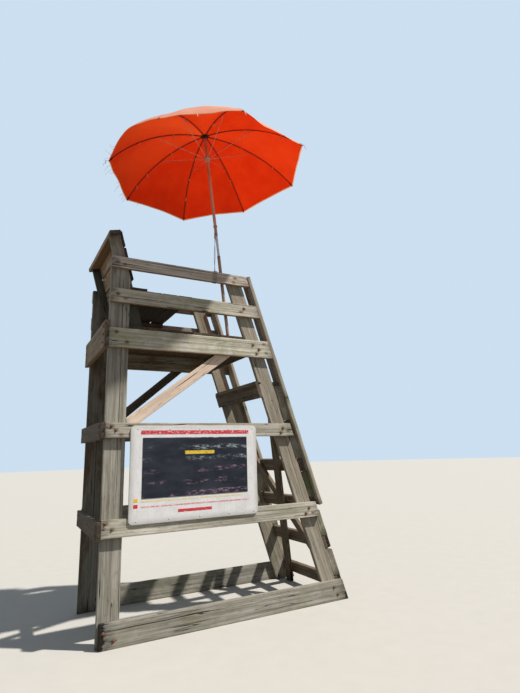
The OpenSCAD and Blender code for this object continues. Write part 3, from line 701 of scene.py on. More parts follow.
# %% Say how each plank has aged
# node: tone, moss, warmth and for some a split: across, from, to in shares, and its width in metres
ageing = {
    "right_post": (0.88, 0.18, 0.12, (0.15, 0.30, 0.96, 0.0022)),
    "left_post": (0.58, 0.10, 0.75, (0.10, 0.10, 0.60, 0.0020)),
    "right_arm_rail": (1.50, 0.08, 0.25, (0.33, 0.07, 0.86, 0.0035)),
    "left_arm_rail": (0.80, 0.15, 0.40, (-0.2, 0.10, 0.60, 0.0020)),
    "right_bench_rail": (1.50, 0.42, 0.12, (-0.10, 0.62, 1.00, 0.0024)),
    "right_deck_rail": (1.60, 0.48, 0.10, (0.28, 0.00, 0.40, 0.0016)),
    "left_deck_rail": (1.05, 0.20, 0.80, (0.0, 0.20, 0.70, 0.0020)),
    "right_middle_rail": (1.25, 0.25, 0.10, (-0.22, 0.00, 0.75, 0.0022)),
    "right_bottom_rail": (1.42, 0.30, 0.12, (0.18, 0.03, 0.90, 0.0022)),
    "right_leg": (0.80, 0.12, 0.15, (0.12, 0.20, 0.75, 0.0018)),
    "left_leg": (0.80, 0.35, 0.30, (-0.1, 0.10, 0.60, 0.0018)),
    "right_skid": (1.00, 0.30, 0.10, (0.20, 0.55, 1.00, 0.0040)),
    "right_leg_blocks": (0.80, 0.85, 0.05),
    # the left brace is darkened for the shade it stands in: painted shade
    "left_brace": (0.42, 0.10, 0.50),
    "right_brace": (1.0, 0.0, 0.0, (0.3, 0.0, 0.02, 0.0)),
    "rear_deck_rail": (1.15, 0.05, 0.70),
    "rear_rails": (0.50, 0.10, 0.50),
    "back_cap": (1.60, 0.05, 0.50),
    "back_slats": (1.80, 0.05, 0.60),
    "bench_boards": (0.50, 0.10, 0.60),
    "deck_boards": (0.68, 0.10, 0.60),
    "deck_beam": (0.62, 0.10, 0.60),
    "cross_plank_b": (0.66, 0.10, 0.60),
}
usual = {
    "grey_timber": (0.84, 0.35, 0.20), "pale_timber": (0.90, 0.25, 0.15), "brown_timber": (0.80, 0.15, 0.35),
    "new_pine": (1.0, 0.0, 0.0),
}
# painted shade: one back upright is darkened to 0.30 for the deep shade it stands in
darker = {("back_uprights", 0): 0.30}                 # one plank of a node, by its number, and a factor
# painted shade: the very ends of the back slats and the cap are darkened
shaded_ends = {"back_slats": 0.22, "back_cap": 0.40}   # the tone at the very end, as a factor
# painted shade: the lower part of the bench boards and of the back uprights is darkened
shade_below = {"bench_boards": (0.5, 0.40), "back_uprights": (0.38, 0.35)}   # up to a share of its height
decayed = {"right_skid": 0.055, "left_skid": 0.055}   # how much of the ends has gone, in metres
decayed_rings = np.array([0.05, 0.11])                # extra rings near a decayed end, in metres from it
stain_radius = 0.022
face_margin = 0.004                                   # a head this close to a board's face is on it
print(len(ageing), "nodes have their own age")

# %% Age a plank
def fixings_on(board):
    """The bolts and nails on a board, in its own axes."""
    places = fixing_places @ board["axes"].T
    on_it = (places > board["low"] - face_margin) & (places < board["high"] + face_margin)
    return places[on_it.all(1)]


def age(node, board, local, seed):
    """The fields of one plank: its tone, moss and warmth, which drift along it, the signed distance
    to its long split with the split's half width, which swells in the middle and closes at the
    ends, and the rust, which falls off with the distance from a bolt or nail, slower along."""
    draw = np.random.default_rng(seed)
    spread = draw.uniform(-1, 1, 3) * (0.10, 0.15, 0.15)
    chance = draw.uniform([-0.4, 0, 0.5, 0.0008], [0.4, 0.5, 1.0, 0.0022])
    tone, moss, warmth, *split = ageing[node] if node in ageing else usual[slot_of[node]] + spread
    at, start, end, width = split[0] if split else chance
    low, high = board["low"], board["high"]
    along, across = local[:, 0], local[:, 1]
    half = (high[1] - low[1]) / 2
    share = (along - low[0]) / (high[0] - low[0])
    drifting = 1 + 0.45 * smooth_wave(along, seed + 11, 4, 0.3, 1.6)
    line = (low[1] + high[1]) / 2 + at * 2 * half + 0.03 * half * smooth_wave(along, seed + 12, 3, 0.5, 2.5)
    swell = np.sqrt(np.clip(4 * (share - start) * (end - share) / (end - start) ** 2, 0, 1))
    away = local[:, None] - fixings_on(board)[None]
    rust = np.clip(1.35 - np.hypot(0.6 * away[..., 0], away[..., 1]) / stain_radius, 0, 1)
    rust = rust * (np.abs(away[..., 2]) < 0.006)
    return {
        "tone": tone * (1 + 0.05 * smooth_wave(along, seed + 13, 4, 0.3, 2.0)),
        "moss": np.clip(moss * drifting, 0, 1), "warm": np.clip(warmth * (2 - drifting), 0, 1),
        "split_off": across - line, "split_wide": width * swell, "rust": rust.max(1, initial=0.0),
    }


print(len(fixings_on(read_boards("right_deck_rail")[0])), "bolts and nails on the right deck rail")

# %% Lay every board
def lay_boards(node, seed, notched):
    """One piece for all the boards of a node. The tone is darkened as painted shade where the tables say so,
    and the tip field of a decayed board reaches further in. A beam with a bevelled edge is read with
    its length across, so its grain is turned."""
    gone = decayed.get(node, 0.0)
    share, shade_tone = shade_below.get(node, (0.0, 1.0))
    skins, fields = [], []
    for k, board in enumerate(read_boards(node)):
        low, high = board["low"], board["high"]
        close_at = fixings_on(board)[:, 0]
        if gone:
            close_at = np.concatenate([close_at, low[0] + decayed_rings, high[0] - decayed_rings])
        local, quads, fans, field = board_surface(
            board, seed * 100 + k, notched=k in notched, fixed_at=close_at, ragged=gone,
        )
        field.update(age(node, board, local, seed * 100 + k))
        very_end = np.clip(field["tip"] * 2 - 1, 0, 1)
        points = local @ board["axes"]
        # painted shade on the lower part of the plank, by the table's factor
        below = points[:, 2] < points[:, 2].min() + share * np.ptp(points[:, 2])
        # painted shade from the tables: whole planks and their lower parts
        field["tone"] = field["tone"] * darker.get((node, k), 1.0) * np.where(below, shade_tone, 1.0)
        # painted shade at the very ends, where the table says so
        field["tone"] = field["tone"] * (1 - very_end * (1 - shaded_ends.get(node, 1.0)))
        if gone:
            field["tip"] = np.clip(1.9 - to_nearer_end(board, local) / 0.085, 0, 1.6)
        if high[1] - low[1] > high[0] - low[0]:
            field["grain"] = field["grain"][:, [1, 0, 2]]
            field["split_wide"] = 0 * field["split_wide"]
        skins.append((points, quads, fans))
        fields.append(field)
    return make_piece(node + "_timber", skins, timbers[slot_of[node]], [node], fields)


notched_boards = {"bench_boards": (0,), "footrest_boards": (0, 1)}
board_nodes = [node for node, slot in slot_of.items() if slot in usual]
for seed, node in enumerate(board_nodes, 1):
    piece = lay_boards(node, seed, notched_boards.get(node, ()))
    print(node, len(piece.data.vertices), "points")

# %% [markdown]
# In front of the two lowest rungs the legs' packing is closed by short offcuts, nearly black.
# They take the rung's own directions, and their thickness is what is left up to the packing's
# face. A box has twelve edges, the pairs of corners that differ one way, and those are all that
# the board surface asks for.

# %% Close the packing in front of the rungs
blocks = read_boards("right_leg_blocks")
block_points = np.concatenate([block["edges"].reshape(-1, 3) @ block["axes"] for block in blocks])
packing_y = np.array([0.4845, 0.5215])
clearance = 0.001
offcuts, offcut_fields = [], []
for seed, node in enumerate(("rung_1", "rung_2"), 900):
    rung = read_boards(node)[0]
    packing_face = (block_points @ rung["axes"][2]).max()
    for side in sides:
        ends = np.sort(side * rung["axes"][0, 1] * packing_y)
        low = np.array([ends[0], rung["low"][1] + clearance, rung["high"][2]])
        high = np.array([ends[1], rung["high"][1] - clearance, packing_face - 2 * clearance])
        corners = np.stack(np.meshgrid(*zip(low, high), indexing="ij"), -1).reshape(-1, 3)
        pairs = corners[np.stack(np.triu_indices(8, 1), -1)]
        edges = pairs[(pairs[:, 0] != pairs[:, 1]).sum(1) == 1]
        offcut = {"axes": rung["axes"], "edges": edges, "low": low, "high": high}
        local, quads, fans, field = board_surface(offcut, seed, worn=0.004)
        field.update(age("cross_plank_b", offcut, local, seed))
        # a third of the usual tone, nearly black
        field["tone"] = 0.35 * field["tone"]
        offcuts.append((local @ offcut["axes"], quads, fans))
        offcut_fields.append(field)
make_piece("rung_offcuts", offcuts, timbers["brown_timber"], fields=offcut_fields)
print(len(offcuts), "offcuts", np.round(high - low, 3), "m")

# %% [markdown]
# The umbrella has a wooden pole in two halves, pushed over a metal tube that shows between them.
# Everything on it is laid out along the pole, so its three directions come first, and then the
# three ways to make a skin round it: a profile turned about an axis, a profile carried along a
# path, and spokes, which point out from the pole. The pole leans back a little.

# %% Set up the pole's directions
mm = 0.001
pole_tilt = math.radians(6.2)
pole_axes = np.array([
    [math.cos(pole_tilt), 0, math.sin(pole_tilt)], [0, 1, 0], [-math.sin(pole_tilt), 0, math.cos(pole_tilt)],
])
deck_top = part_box("umbrella_pole")[0].z
pole_foot = np.array([-0.05498, -0.5045, deck_top])
crown = pole_foot + 2.245 * pole_axes[2]


def unit(v):
    """v divided by its length."""
    return v / np.linalg.norm(v, axis=-1, keepdims=True)


def circle(radius, sides=12):
    """A round profile."""
    angle = np.linspace(0, 2 * np.pi, sides, endpoint=False)
    return radius * np.stack([np.cos(angle), np.sin(angle)], -1)


def spokes(angle, axes=pole_axes):
    """Directions square to the third axis: the angle's cosine along the first, its sine along the
    second."""
    return np.cos(angle)[..., None] * axes[0] + np.sin(angle)[..., None] * axes[1]


def turned(profile, foot, sides=40, notch=None, axes=pole_axes):
    """The skin of a turned piece: rows of (rise, radius) turned about the third axis from foot.
    notch gives a factor for the radius from the angle and the rise."""
    angle = np.linspace(0, 2 * np.pi, sides, endpoint=False)
    rise, radius = np.asarray(profile).T[:, :, None]
    radius = radius * (notch(angle, rise) if notch else np.ones(sides))
    return close_rings(foot + radius[..., None] * spokes(angle, axes) + rise[..., None] * axes[2])


def carry(path, profile, up, scale=1.0, roll=0.0):
    """The skin of a profile carried along a path. At each point the tangent is the slope of the
    path, the side is square to it and to up, and the normal is square to both. The profile's
    columns count along side and normal, after a turn by roll and a change of size by scale."""
    tangent = unit(np.gradient(path, axis=0))
    side = unit(np.cross(up, tangent))
    normal = np.cross(tangent, side)
    roll, scale = (np.broadcast_to(v, len(path))[:, None] for v in (roll, scale))
    a = scale * (np.cos(roll) * profile[:, 0] - np.sin(roll) * profile[:, 1])
    b = scale * (np.sin(roll) * profile[:, 0] + np.cos(roll) * profile[:, 1])
    return close_rings(path[:, None] + a[..., None] * side[:, None] + b[..., None] * normal[:, None])


print("crown at", np.round(crown, 3))

# %% [markdown]
# The pole halves are turned wood, stained brown and rubbed at the ends, and slightly barrel-shaped
# because they were sanded by hand. They reuse the timber finish: their grain field is simply the
# place along the pole and the two directions across it. The foot is cut level where it stands on
# the deck: points below the deck move up along the pole until they reach it.

# %% Turn the pole
def wooden_pole(low, high, radius, seed):
    """A turned pole between two rises: its radius swells and thins by a smooth wave of the rise,
    and both ends are eased over a few millimetres."""
    eased = np.array([0.0, 0.0006, 0.002, 0.005])
    rise = np.concatenate([low + eased, np.linspace(low + 0.03, high - 0.03, 60), high - eased[::-1]])
    ends = np.minimum(rise - low, high - rise)
    size = radius - 0.0004 + 0.0003 * smooth_wave(rise, seed, 4, 0.6, 3.0)
    size = size - 0.0022 * np.clip(1 - ends / 0.005, 0, 1) ** 2
    points, quads, fans = turned(np.stack([rise, size], -1), pole_foot, 32)
    under_deck = np.minimum((points[:, 2:] - deck_top) / math.cos(pole_tilt), 0)
    return points - under_deck * pole_axes[2], quads, fans


tube_from, tube_to = 0.865, 1.090
halves = [wooden_pole(-0.004, tube_from, 0.017, 1), wooden_pole(tube_to, 2.219, 0.016, 2)]
across_pole, beside_pole, rise = ((np.concatenate([half[0] for half in halves]) - pole_foot) @ pole_axes.T).T
upper = rise > 1.0
still = 0 * rise
# the upper half is lighter, most just above the tube, and darkens towards the crown
pole_tone = np.where(upper, 1.85 - 0.65 * (rise - tube_to), 1.02)
pole_fields = {
    "grain": np.stack([rise + upper * 3, across_pole, beside_pole], -1),
    "tone": pole_tone * (1 + 0.12 * smooth_wave(rise, 4, 4, 1.0, 4.0)), "arris": still,
    "tip": sum(np.clip(1 - np.abs(rise - end) / 0.05, 0, 1) for end in (tube_from, tube_to)),
    "moss": still, "warm": still + 0.2, "split_off": beside_pole - 0.002, "split_wide": still, "rust": still,
}
make_piece("pole_halves", halves, timbers["pole_wood"], ["umbrella_pole"], [pole_fields])
print("pole", len(rise), "points")

# %% [markdown]
# The fittings are metal and moulded plastic. Painted and plated steel left outdoors rusts in spots
# that grow together, so the rust is a noise with a hard edge, and it takes the gloss with it. A
# picture of rust would have to be fitted to each piece, while a noise in space needs no fitting.

# %% Mix the fittings' finishes
def metal(name, slot, colour, rust_from, rust_to, gloss, metallic):
    """Metal with rust in it: where a two-scale noise passes rust_from, the bare colour gives way to
    a brown crust, fully at rust_to. Rust is dull, rough and slightly raised."""
    f = Finish(name, slot)
    coarse = f.noise(f.place(), 38.0, 5.0, 0.65)
    fine = f.noise(f.place(), 420.0)
    rust = f.steps(coarse * 0.75 + fine * 0.25, rust_from, rust_to)
    rust_colour = f.mix(fine, (0.10, 0.040, 0.018), (0.26, 0.115, 0.05))
    clean = f.mix(f.steps(coarse, 0.3, 0.7), colour, 0.78 * np.array(colour))
    return f.wear(
        Base_Color=f.mix(rust, clean, rust_colour), Metallic=f.math("SUBTRACT", 1.0, rust) * metallic,
        Roughness=f.steps(rust, 0.0, 1.0, gloss, 0.9), Normal=f.bump(rust + fine * 0.4, 0.0003),
    )


def moulded(name, slot, colour, soil, gloss):
    """Moulded plastic gone chalky: soil gathers where a slow noise is high, and fine scuffs
    break the gloss."""
    f = Finish(name, slot)
    slow = f.noise(f.place(), 30.0, 5.0, 0.6)
    scuff = f.noise(f.place(), (900.0, 900.0, 200.0), 2.0)
    f.wear(Base_Color=f.mix(f.steps(slow, 0.35, 0.70, 0.0, 0.8), colour, soil))
    return f.wear(Roughness=f.steps(scuff, 0.3, 0.7, gloss, gloss + 0.2), Normal=f.bump(scuff, 0.00015))


aluminium = metal("pole_tube_metal", "fitting_white", (0.52, 0.50, 0.49), 0.62, 0.72, 0.38, 0.55)
rib_steel = metal("rib_steel", "rib_metal", (0.10, 0.075, 0.07), 0.46, 0.58, 0.45, 0.5)
stretcher_steel = metal("stretcher_steel", "rib_metal", (0.70, 0.45, 0.33), 0.57, 0.70, 0.45, 0.35)
fixing_steel = metal("fixing_steel", "rib_metal", (0.20, 0.17, 0.14), 0.36, 0.52, 0.5, 0.6)
dark_plastic = moulded("dark_plastic", "fitting_dark", (0.030, 0.024, 0.024), (0.10, 0.085, 0.075), 0.38)
white_plastic = moulded("white_plastic", "fitting_white", (0.66, 0.62, 0.56), (0.42, 0.34, 0.27), 0.42)
print("six fittings' finishes")

# %% [markdown]
# The tube, the crown and the runner. The crown is a notched wheel: each of the eight ribs hinges
# in its own slot. A cap clamps the cloth on it, and a spike ends the pole. The runner slides on
# the pole and carries the stretchers in the slots of its flange. Slots could be cut with a
# boolean, but here they come from the radius itself, which drops in a narrow band of the angle
# round each rib, so the skin stays closed and clean.

# %% Turn the tube, the crown and the runner
rib_turn = math.radians(-2.5)
rib_angles = rib_turn + np.arange(8) * np.pi / 4
runner_at = crown - 0.261 * pole_axes[2]


def slots(low, high, depth, half_width):
    """Eight slots in a turned piece between two rises: a factor that falls by depth within
    half_width, an angle, of each rib."""
    def factor(angle, rise):
        off = np.abs((angle - rib_turn + np.pi / 8) % (np.pi / 4) - np.pi / 8)
        band = np.clip((rise - low) / 0.0008, 0, 1) * np.clip((high - rise) / 0.0008, 0, 1)
        return 1 - depth * band * np.clip(1.5 - off / half_width, 0, 1)
    return factor


# rows of (rise, radius) in millimetres
tube = mm * np.array([
    (850, 12.6), (866, 12.9), (868, 12.9), (870.5, 14.1), (872, 13), (873, 14.1), (875.5, 12.9), (960, 12.9),
    (1083, 13), (1089, 12.9), (1105, 12.6),
])
wheel = mm * np.array([
    (-26, 15), (-25.8, 19.5), (-24, 21.5), (-20.5, 22), (-19.5, 23.6), (-12, 24), (-4, 24), (0.5, 23.6),
    (2, 20), (2, 10),
])
cap = mm * np.array([(7.4, 8), (7.4, 22.5), (8, 23.7), (9.5, 24), (11.2, 22.6), (12.2, 18), (12.2, 7.8)])
spike = mm * np.array([
    (11.8, 7.2), (16, 7), (20, 6.6), (23, 5.2), (26, 5), (30, 6.1), (38, 6.8), (46, 6.2), (53, 4.8),
    (57.5, 2.8), (59.6, 1),
])
stem = mm * np.array([(1.8, 6.6), (8, 6.6)])
runner = mm * np.array([
    (-45, 16.8), (-44.8, 19.2), (-43.5, 20.3), (-38, 20.8), (-15, 20.9), (-11.2, 22.6), (-9.8, 29),
    (-8.5, 31.4), (-6, 32), (6, 32), (8.5, 31.4), (9.8, 29), (9.9, 16.8),
])
crown_skins = [
    turned(wheel, crown, 96, slots(-0.0195, 0.0005, 0.30, 0.10)),
    turned(cap, crown, 48), turned(spike, crown, 24), turned(stem, crown, 24),
]
make_piece("pole_tube", [turned(tube, pole_foot)], aluminium)
make_piece("crown", crown_skins, dark_plastic, ["umbrella_hub"])
runner_skin = turned(runner, runner_at, 96, slots(-0.0060, 0.0099, 0.16, 0.075))
make_piece("runner", [runner_skin], white_plastic, ["umbrella_runner"])
print("crown and runner turned")

# %% [markdown]
# The ribs are spring steel rods that the cloth pulls into an arc. Wind has bent two of them: one
# tip is pushed aside, one down. The bend grows with the cube of the way out, as it does on a
# rod held at its root, and the cloth reads the same function, so it stays on the ribs.

# %% Bend the ribs
rib_reach, rib_drop = 1.042, 0.451
arc_radius = (rib_reach ** 2 + rib_drop ** 2) / (2 * rib_drop)
tip_push = np.zeros((8, 3))                      # outwards, anticlockwise and down, in metres
tip_push[6] = (0.0, -0.055, 0.0)
tip_push[2] = (0.010, -0.030, 0.030)
rib_out = spokes(rib_angles)
rib_side = np.cross(pole_axes[2], rib_out)


def arc_at(reach):
    """The arc angle at which a rib is reach metres from the pole's line."""
    return math.asin(reach / arc_radius)


arc_end = arc_at(rib_reach)


def rib_lines(arc, lift=0.0):
    """Points (m, 8, 3) on the eight ribs at the arc angles given. A rib is a circle's arc that
    leaves the crown square to the pole; lift moves the points out from it; the push on its tip is
    shared out by the cube of the way along."""
    arc = np.asarray(arc)[:, None, None]
    radius = arc_radius + lift
    line = crown + radius * np.sin(arc) * rib_out + (radius * np.cos(arc) - arc_radius) * pole_axes[2]
    push = tip_push[:, :1] * rib_out + tip_push[:, 1:2] * rib_side - tip_push[:, 2:] * pole_axes[2]
    return line + (arc / arc_end) ** 3 * push


rib_paths = rib_lines(np.linspace(arc_at(0.0245), arc_end, 60)).transpose(1, 0, 2)
sleeve_paths = rib_lines(np.linspace(arc_at(0.512), arc_at(0.576), 12)).transpose(1, 0, 2)
thinner_out = 1 - 0.12 * np.linspace(0, 1, 60)
pinched = 1 - 0.30 * np.abs(np.linspace(-1, 1, 12)) ** 6
ball = np.radians(np.linspace(-80, 80, 9))
ribs, sleeves, tips = [], [], []
for path, sleeve, side in zip(rib_paths, sleeve_paths, rib_side):
    ribs.append(carry(path, circle(0.0033), side, thinner_out))
    sleeves.append(carry(sleeve, circle(0.0040, 10) * [1.0, 0.9], side, pinched))
    ball_path = path[-1] + 0.004 * np.sin(ball)[:, None] * unit(path[-1] - path[-2])
    tips.append(carry(ball_path, circle(0.0042), side, np.cos(ball)))
make_piece("ribs", ribs + sleeves, rib_steel, ["umbrella_ribs"])
make_piece("rib_tips", tips, dark_plastic)
print("ribs", round(float(arc_radius * arc_end), 3), "m long")

# %% [markdown]
# A stretcher is a strip of steel rolled into a channel, which is stiff and light. A bent plane with
# a thickness could stand for it, but here its profile is the U itself, carried from the runner
# to the sleeve on its rib. A rivet holds it at both ends, where it is squeezed a little.

# %% Fold the stretchers
def channel(width, depth, wall):
    """The outline of a channel: a U of even wall, as one closed profile."""
    w, d = width / 2, depth / 2
    inside, bottom = w - wall, wall - d
    outer = [(-w, d), (-w, -d), (w, -d), (w, d)]
    return np.array(outer + [(inside, d), (inside, bottom), (-inside, bottom), (-inside, d)])


joints = rib_lines([arc_at(0.544)], -0.0062)[0]
way = np.linspace(0, 1, 14)[:, None]
squeezed = 1 - 0.25 * np.abs(2 * way[:, 0] - 1) ** 12
stretchers, rivets = [], []
for joint, outward, side in zip(joints, rib_out, rib_side):
    start = runner_at + 0.0290 * outward
    stretchers.append(carry(start + way * (joint - start), channel(0.0048, 0.0042, 0.0009), side, squeezed))
    for at in (start + 0.004 * outward, joint - 0.004 * unit(joint - start)):
        pin = at + np.linspace(-0.0036, 0.0036, 5)[:, None] * side
        rivets.append(carry(pin, circle(0.0013, 8), pole_axes[2], [0.8, 1, 1, 1, 0.8]))
make_piece("stretchers", stretchers, stretcher_steel, ["umbrella_stretchers"])
make_piece("stretcher_rivets", rivets, rib_steel)
print(len(stretchers), "stretchers")

# %% [markdown]
# The canopy is cotton cloth: eight gores sewn together and stretched over the ribs. One function
# gives the whole sheet. A point is shared between two neighbouring ribs, so each gore is flat
# across and bent lengthwise; wind then lifts some gores off that surface, most at the middle of
# the rim. A cloth simulation would need the ribs' push to keep it taut; here the cut of the
# gores already is that shape. Both faces come from the same sheet moved out and in by half its
# thickness, with the seams and the hem thicker, and they close round the rim and the spike.

# %% Shape the gores
gore_columns = np.concatenate([
    [0, 0.006, 0.012, 0.020, 0.035], np.linspace(0.06, 0.94, 23), [0.965, 0.980, 0.988, 0.994],
])
lifted_by_wind = np.array([-0.034, 0.004, 0.006, 0.050, 0.098, 0.012, -0.012, 0.036])
belly = np.array([0.0, 0.0, 0.0, 0.010, 0.022, 0.030, 0.006, 0.004])
flutter = np.array([0.004, 0.004, 0.006, 0.014, 0.006, 0.008, 0.008, 0.005])
# how much brighter each gore glows: painted light, most on the gores the wind lifts
painted_gore_glow = np.array([0.0, 0.0, 0.0, 0.5, 0.9, 0.45, 0.1, 0.3])
gore = np.arange(8.0)[:, None]
scallop = 0.020
cloth_lift = 0.0050
hem_width = 0.018


def canopy_sheet(arc, share):
    """The sheet (m, 8, c, 3) and its outward normals: share runs from one rib to the next. The lift
    of a gore is its wind times sin(pi share) times a power of the way out; two weaker waves add
    the flutter of the rim and the folds that run from the crown. The rim is cut hollow between
    the ribs: there a point is drawn back towards the crown by the scallop."""
    lines = rib_lines(arc, cloth_lift)
    following = np.roll(lines, -1, axis=1)
    sheet = lines[:, :, None] * (1 - share[:, None]) + following[:, :, None] * share[:, None]
    out = (arc / arc_end)[:, None, None]
    bow = np.sin(np.pi * share)
    sheet = sheet + (scallop * bow * out ** 6)[..., None] * unit(crown - sheet)
    normal = unit(sheet - (crown - arc_radius * pole_axes[2]))
    lift = lifted_by_wind[:, None] * bow * out ** 2.3 + 0.007 * bow * np.sin(np.pi * out)
    lift = lift + belly[:, None] * bow * np.sin(np.pi * out ** 2)
    lift = lift + flutter[:, None] * bow * out ** 6 * np.sin(2 * np.pi * (1.6 * share + 0.37 * gore))
    folds = 0.0022 * bow * np.sin(2 * np.pi * (3.1 * share + 0.21 * gore + 0.6 * out)) * out
    return sheet + (lift + folds)[..., None] * normal, normal


print("eight gores,", len(gore_columns), "columns of points in each")

# %% Sew the canopy
first_arc = arc_at(0.0092)
hem_arcs = arc_end - np.array([hem_width + 0.0025, hem_width, 0.0150, 0.0135, 0.0]) / arc_radius
arcs = np.concatenate([np.linspace(first_arc, hem_arcs[0] - 0.012, 62), hem_arcs])
# The last strip at the rim is painted salmon on both faces: a painted highlight of the sunlit rim.
hem, rim_highlight = (np.clip((arcs - a) / (b - a), 0, 1)[:, None, None] for a, b in (hem_arcs[:2], hem_arcs[2:4]))
sheet, normal = canopy_sheet(arcs, gore_columns)
chord = np.linalg.norm(sheet[:, :, 0] - np.roll(sheet[:, :, 0], -1, axis=1), axis=-1)[..., None]
to_seam = np.minimum(gore_columns, 1 - gore_columns) * chord
seam = np.clip(1.35 - to_seam / 0.0085, 0, 1)
half_thickness = (0.0006 + 0.0006 * np.maximum(seam, hem))[..., None]
rows = len(arcs)
columns = 8 * len(gore_columns)
faces = [(sheet + way * half_thickness * normal).reshape(rows, columns, 3) for way in (1, -1)]
loop = np.concatenate([faces[0], faces[1][::-1]]).reshape(-1, 3)
i, j = np.meshgrid(np.arange(2 * rows), np.arange(columns), indexing="ij")
here, down, beside = i * columns, (i + 1) % (2 * rows) * columns, (j + 1) % columns
canopy_quads = np.stack([here + j, down + j, down + beside, here + beside], -1).reshape(-1, 4)
print("canopy", rows, "by", columns, "points on each face")

# %% Note where the seams and the hem lie
def on_both_faces(values):
    """A field of the sheet laid out as its points are: the outer face, then the inner one back."""
    grid = np.broadcast_to(values, seam.shape).reshape(rows, columns)
    return np.concatenate([grid, grid[::-1]]).ravel()


down_the_gore = (arcs * arc_radius)[:, None, None]
across_the_gore = (gore_columns - 0.5) * chord + 3 * gore
canopy_fields = {key: on_both_faces(values) for key, values in {
    "seam": seam, "hem": hem * (1 - rim_highlight), "rim_highlight": rim_highlight, "gore": gore,
    "painted_glow": painted_gore_glow[:, None] * np.sin(np.pi * gore_columns) ** 0.5,
}.items()}
canopy_fields["weave"] = np.stack([on_both_faces(v) for v in (down_the_gore, across_the_gore, 0)], -1)
canopy_fields["outside"] = np.repeat([1.0, 0.0], rows * columns)
print("fields on the canopy:", sorted(canopy_fields))

# %% [markdown]
# The cloth lets the sun through: from below it glows deep red. The outside is salmon, partly
# bleached and partly a painted highlight of the sun on it. A translucent shader passes light from
# the far face, a principled one reflects it; the seams and the hem are double, so less comes
# through and they look darker. The weave is a fine noise drawn out both ways along the gore, and
# slack spots and salt make soft clouds in it.

# %% Dye the canopy
cloth = Finish("canopy_cloth", "canopy_cloth")
weave_at = cloth.attribute("weave", "Vector")
outside, rim_highlight_here = cloth.attribute("outside"), cloth.attribute("rim_highlight")
doubled = cloth.math("MAXIMUM", cloth.attribute("seam"), cloth.attribute("hem"))
gore_tone = cloth.noise(cloth.add("CombineXYZ", {0: cloth.attribute("gore") * 7.31}), 1.0, 0.0)
# A dark ring within about 6 cm of the crown: painted shade round the hub.
painted_hub_shade = cloth.steps(cloth.add("SeparateXYZ", {0: weave_at}), 0.062, 0.030, 0.0, 0.85)
cloud = cloth.noise(weave_at, 4.5, 4.0, 0.6)
clouded = cloth.steps(cloud, 0.3, 0.7)
warp = cloth.noise(weave_at, (300.0, 2400.0, 1.0), 2.0)
weft = cloth.noise(weave_at, (2400.0, 300.0, 1.0), 2.0)
threads = cloth.math("MAXIMUM", warp, weft)
under_dye = cloth.mix(clouded, (0.66, 0.085, 0.022), (0.60, 0.065, 0.017))
# the outside: salmon, partly bleached and partly a painted highlight of the sun
outer_dye_and_highlight = cloth.mix(clouded, (0.98, 0.62, 0.46), (0.96, 0.52, 0.35))
dye = cloth.coats(
    cloth.mix(outside, under_dye, outer_dye_and_highlight),
    (doubled * 0.5, (0.30, 0.03, 0.012)),
    (cloth.steps(threads, 0.45, 0.75, 0.0, 0.12), (0.35, 0.03, 0.01)),
    # painted shade round the hub
    (painted_hub_shade, (0.10, 0.02, 0.012)),
    # painted highlight: the rim strip
    (rim_highlight_here, (0.98, 0.50, 0.30)),
)
glow = cloth.coats(
    cloth.mix(clouded, (0.84, 0.19, 0.064), (0.79, 0.160, 0.056)),
    (cloth.steps(gore_tone, 0.35, 0.65, 0.0, 0.35), (0.66, 0.10, 0.02)),
    # painted light: a brighter glow on some gores
    (cloth.attribute("painted_glow"), (0.86, 0.27, 0.11)),
    (doubled * 0.75, (0.25, 0.02, 0.006)),
    # painted shade round the hub
    (painted_hub_shade, (0.06, 0.012, 0.006)),
    # painted highlight: the rim strip
    (rim_highlight_here, (1.0, 0.55, 0.30)),
)
cloth_bump = cloth.bump(cloud * 4.0 + threads, 0.0004)
cloth.wear(Base_Color=dye, Roughness=0.86, Normal=cloth_bump, Specular_IOR_Level=0.2)
through_cloth = cloth.add("BsdfTranslucent", {"Color": glow, "Normal": cloth_bump})
cloth.blend(cloth.steps(outside, 0.0, 1.0, 0.76, 0.46), through_cloth)
canopy = make_piece("canopy", [(loop, canopy_quads)], cloth, ["umbrella_canopy"], [canopy_fields])

# %% [markdown]
# Small cloth parts: a pocket at each rib's tip, the tapes that tie the canopy to the ribs, and
# threads that have frayed out of the hem on the windy side. Pockets and tapes are flat profiles
# carried along a path; a thread is a thin round one. Hair would be quicker to comb, but it is
# not a mesh, and each of these few hangs in its own way.

# %% Sew the pockets and tie the tapes
pocket_arcs = np.linspace(arc_end - 0.050 / arc_radius, arc_end - 0.003 / arc_radius, 9)
pocket_size = np.array([0.55, 0.85, 1.0, 1.05, 1.08, 1.05, 1.0, 0.9, 0.7])
pocket_paths = rib_lines(pocket_arcs, 0.0006).transpose(1, 0, 2)
pockets = [
    carry(path, circle(0.0056, 14) * [1.25, 0.62], side, pocket_size)
    for path, side in zip(pocket_paths, rib_side)
]
scatter = np.random.default_rng(21)
turn = np.linspace(0, 2 * np.pi, 15)
ribbon = np.array([(-0.5, -1), (0.5, -1), (0.5, 1), (-0.5, 1)])
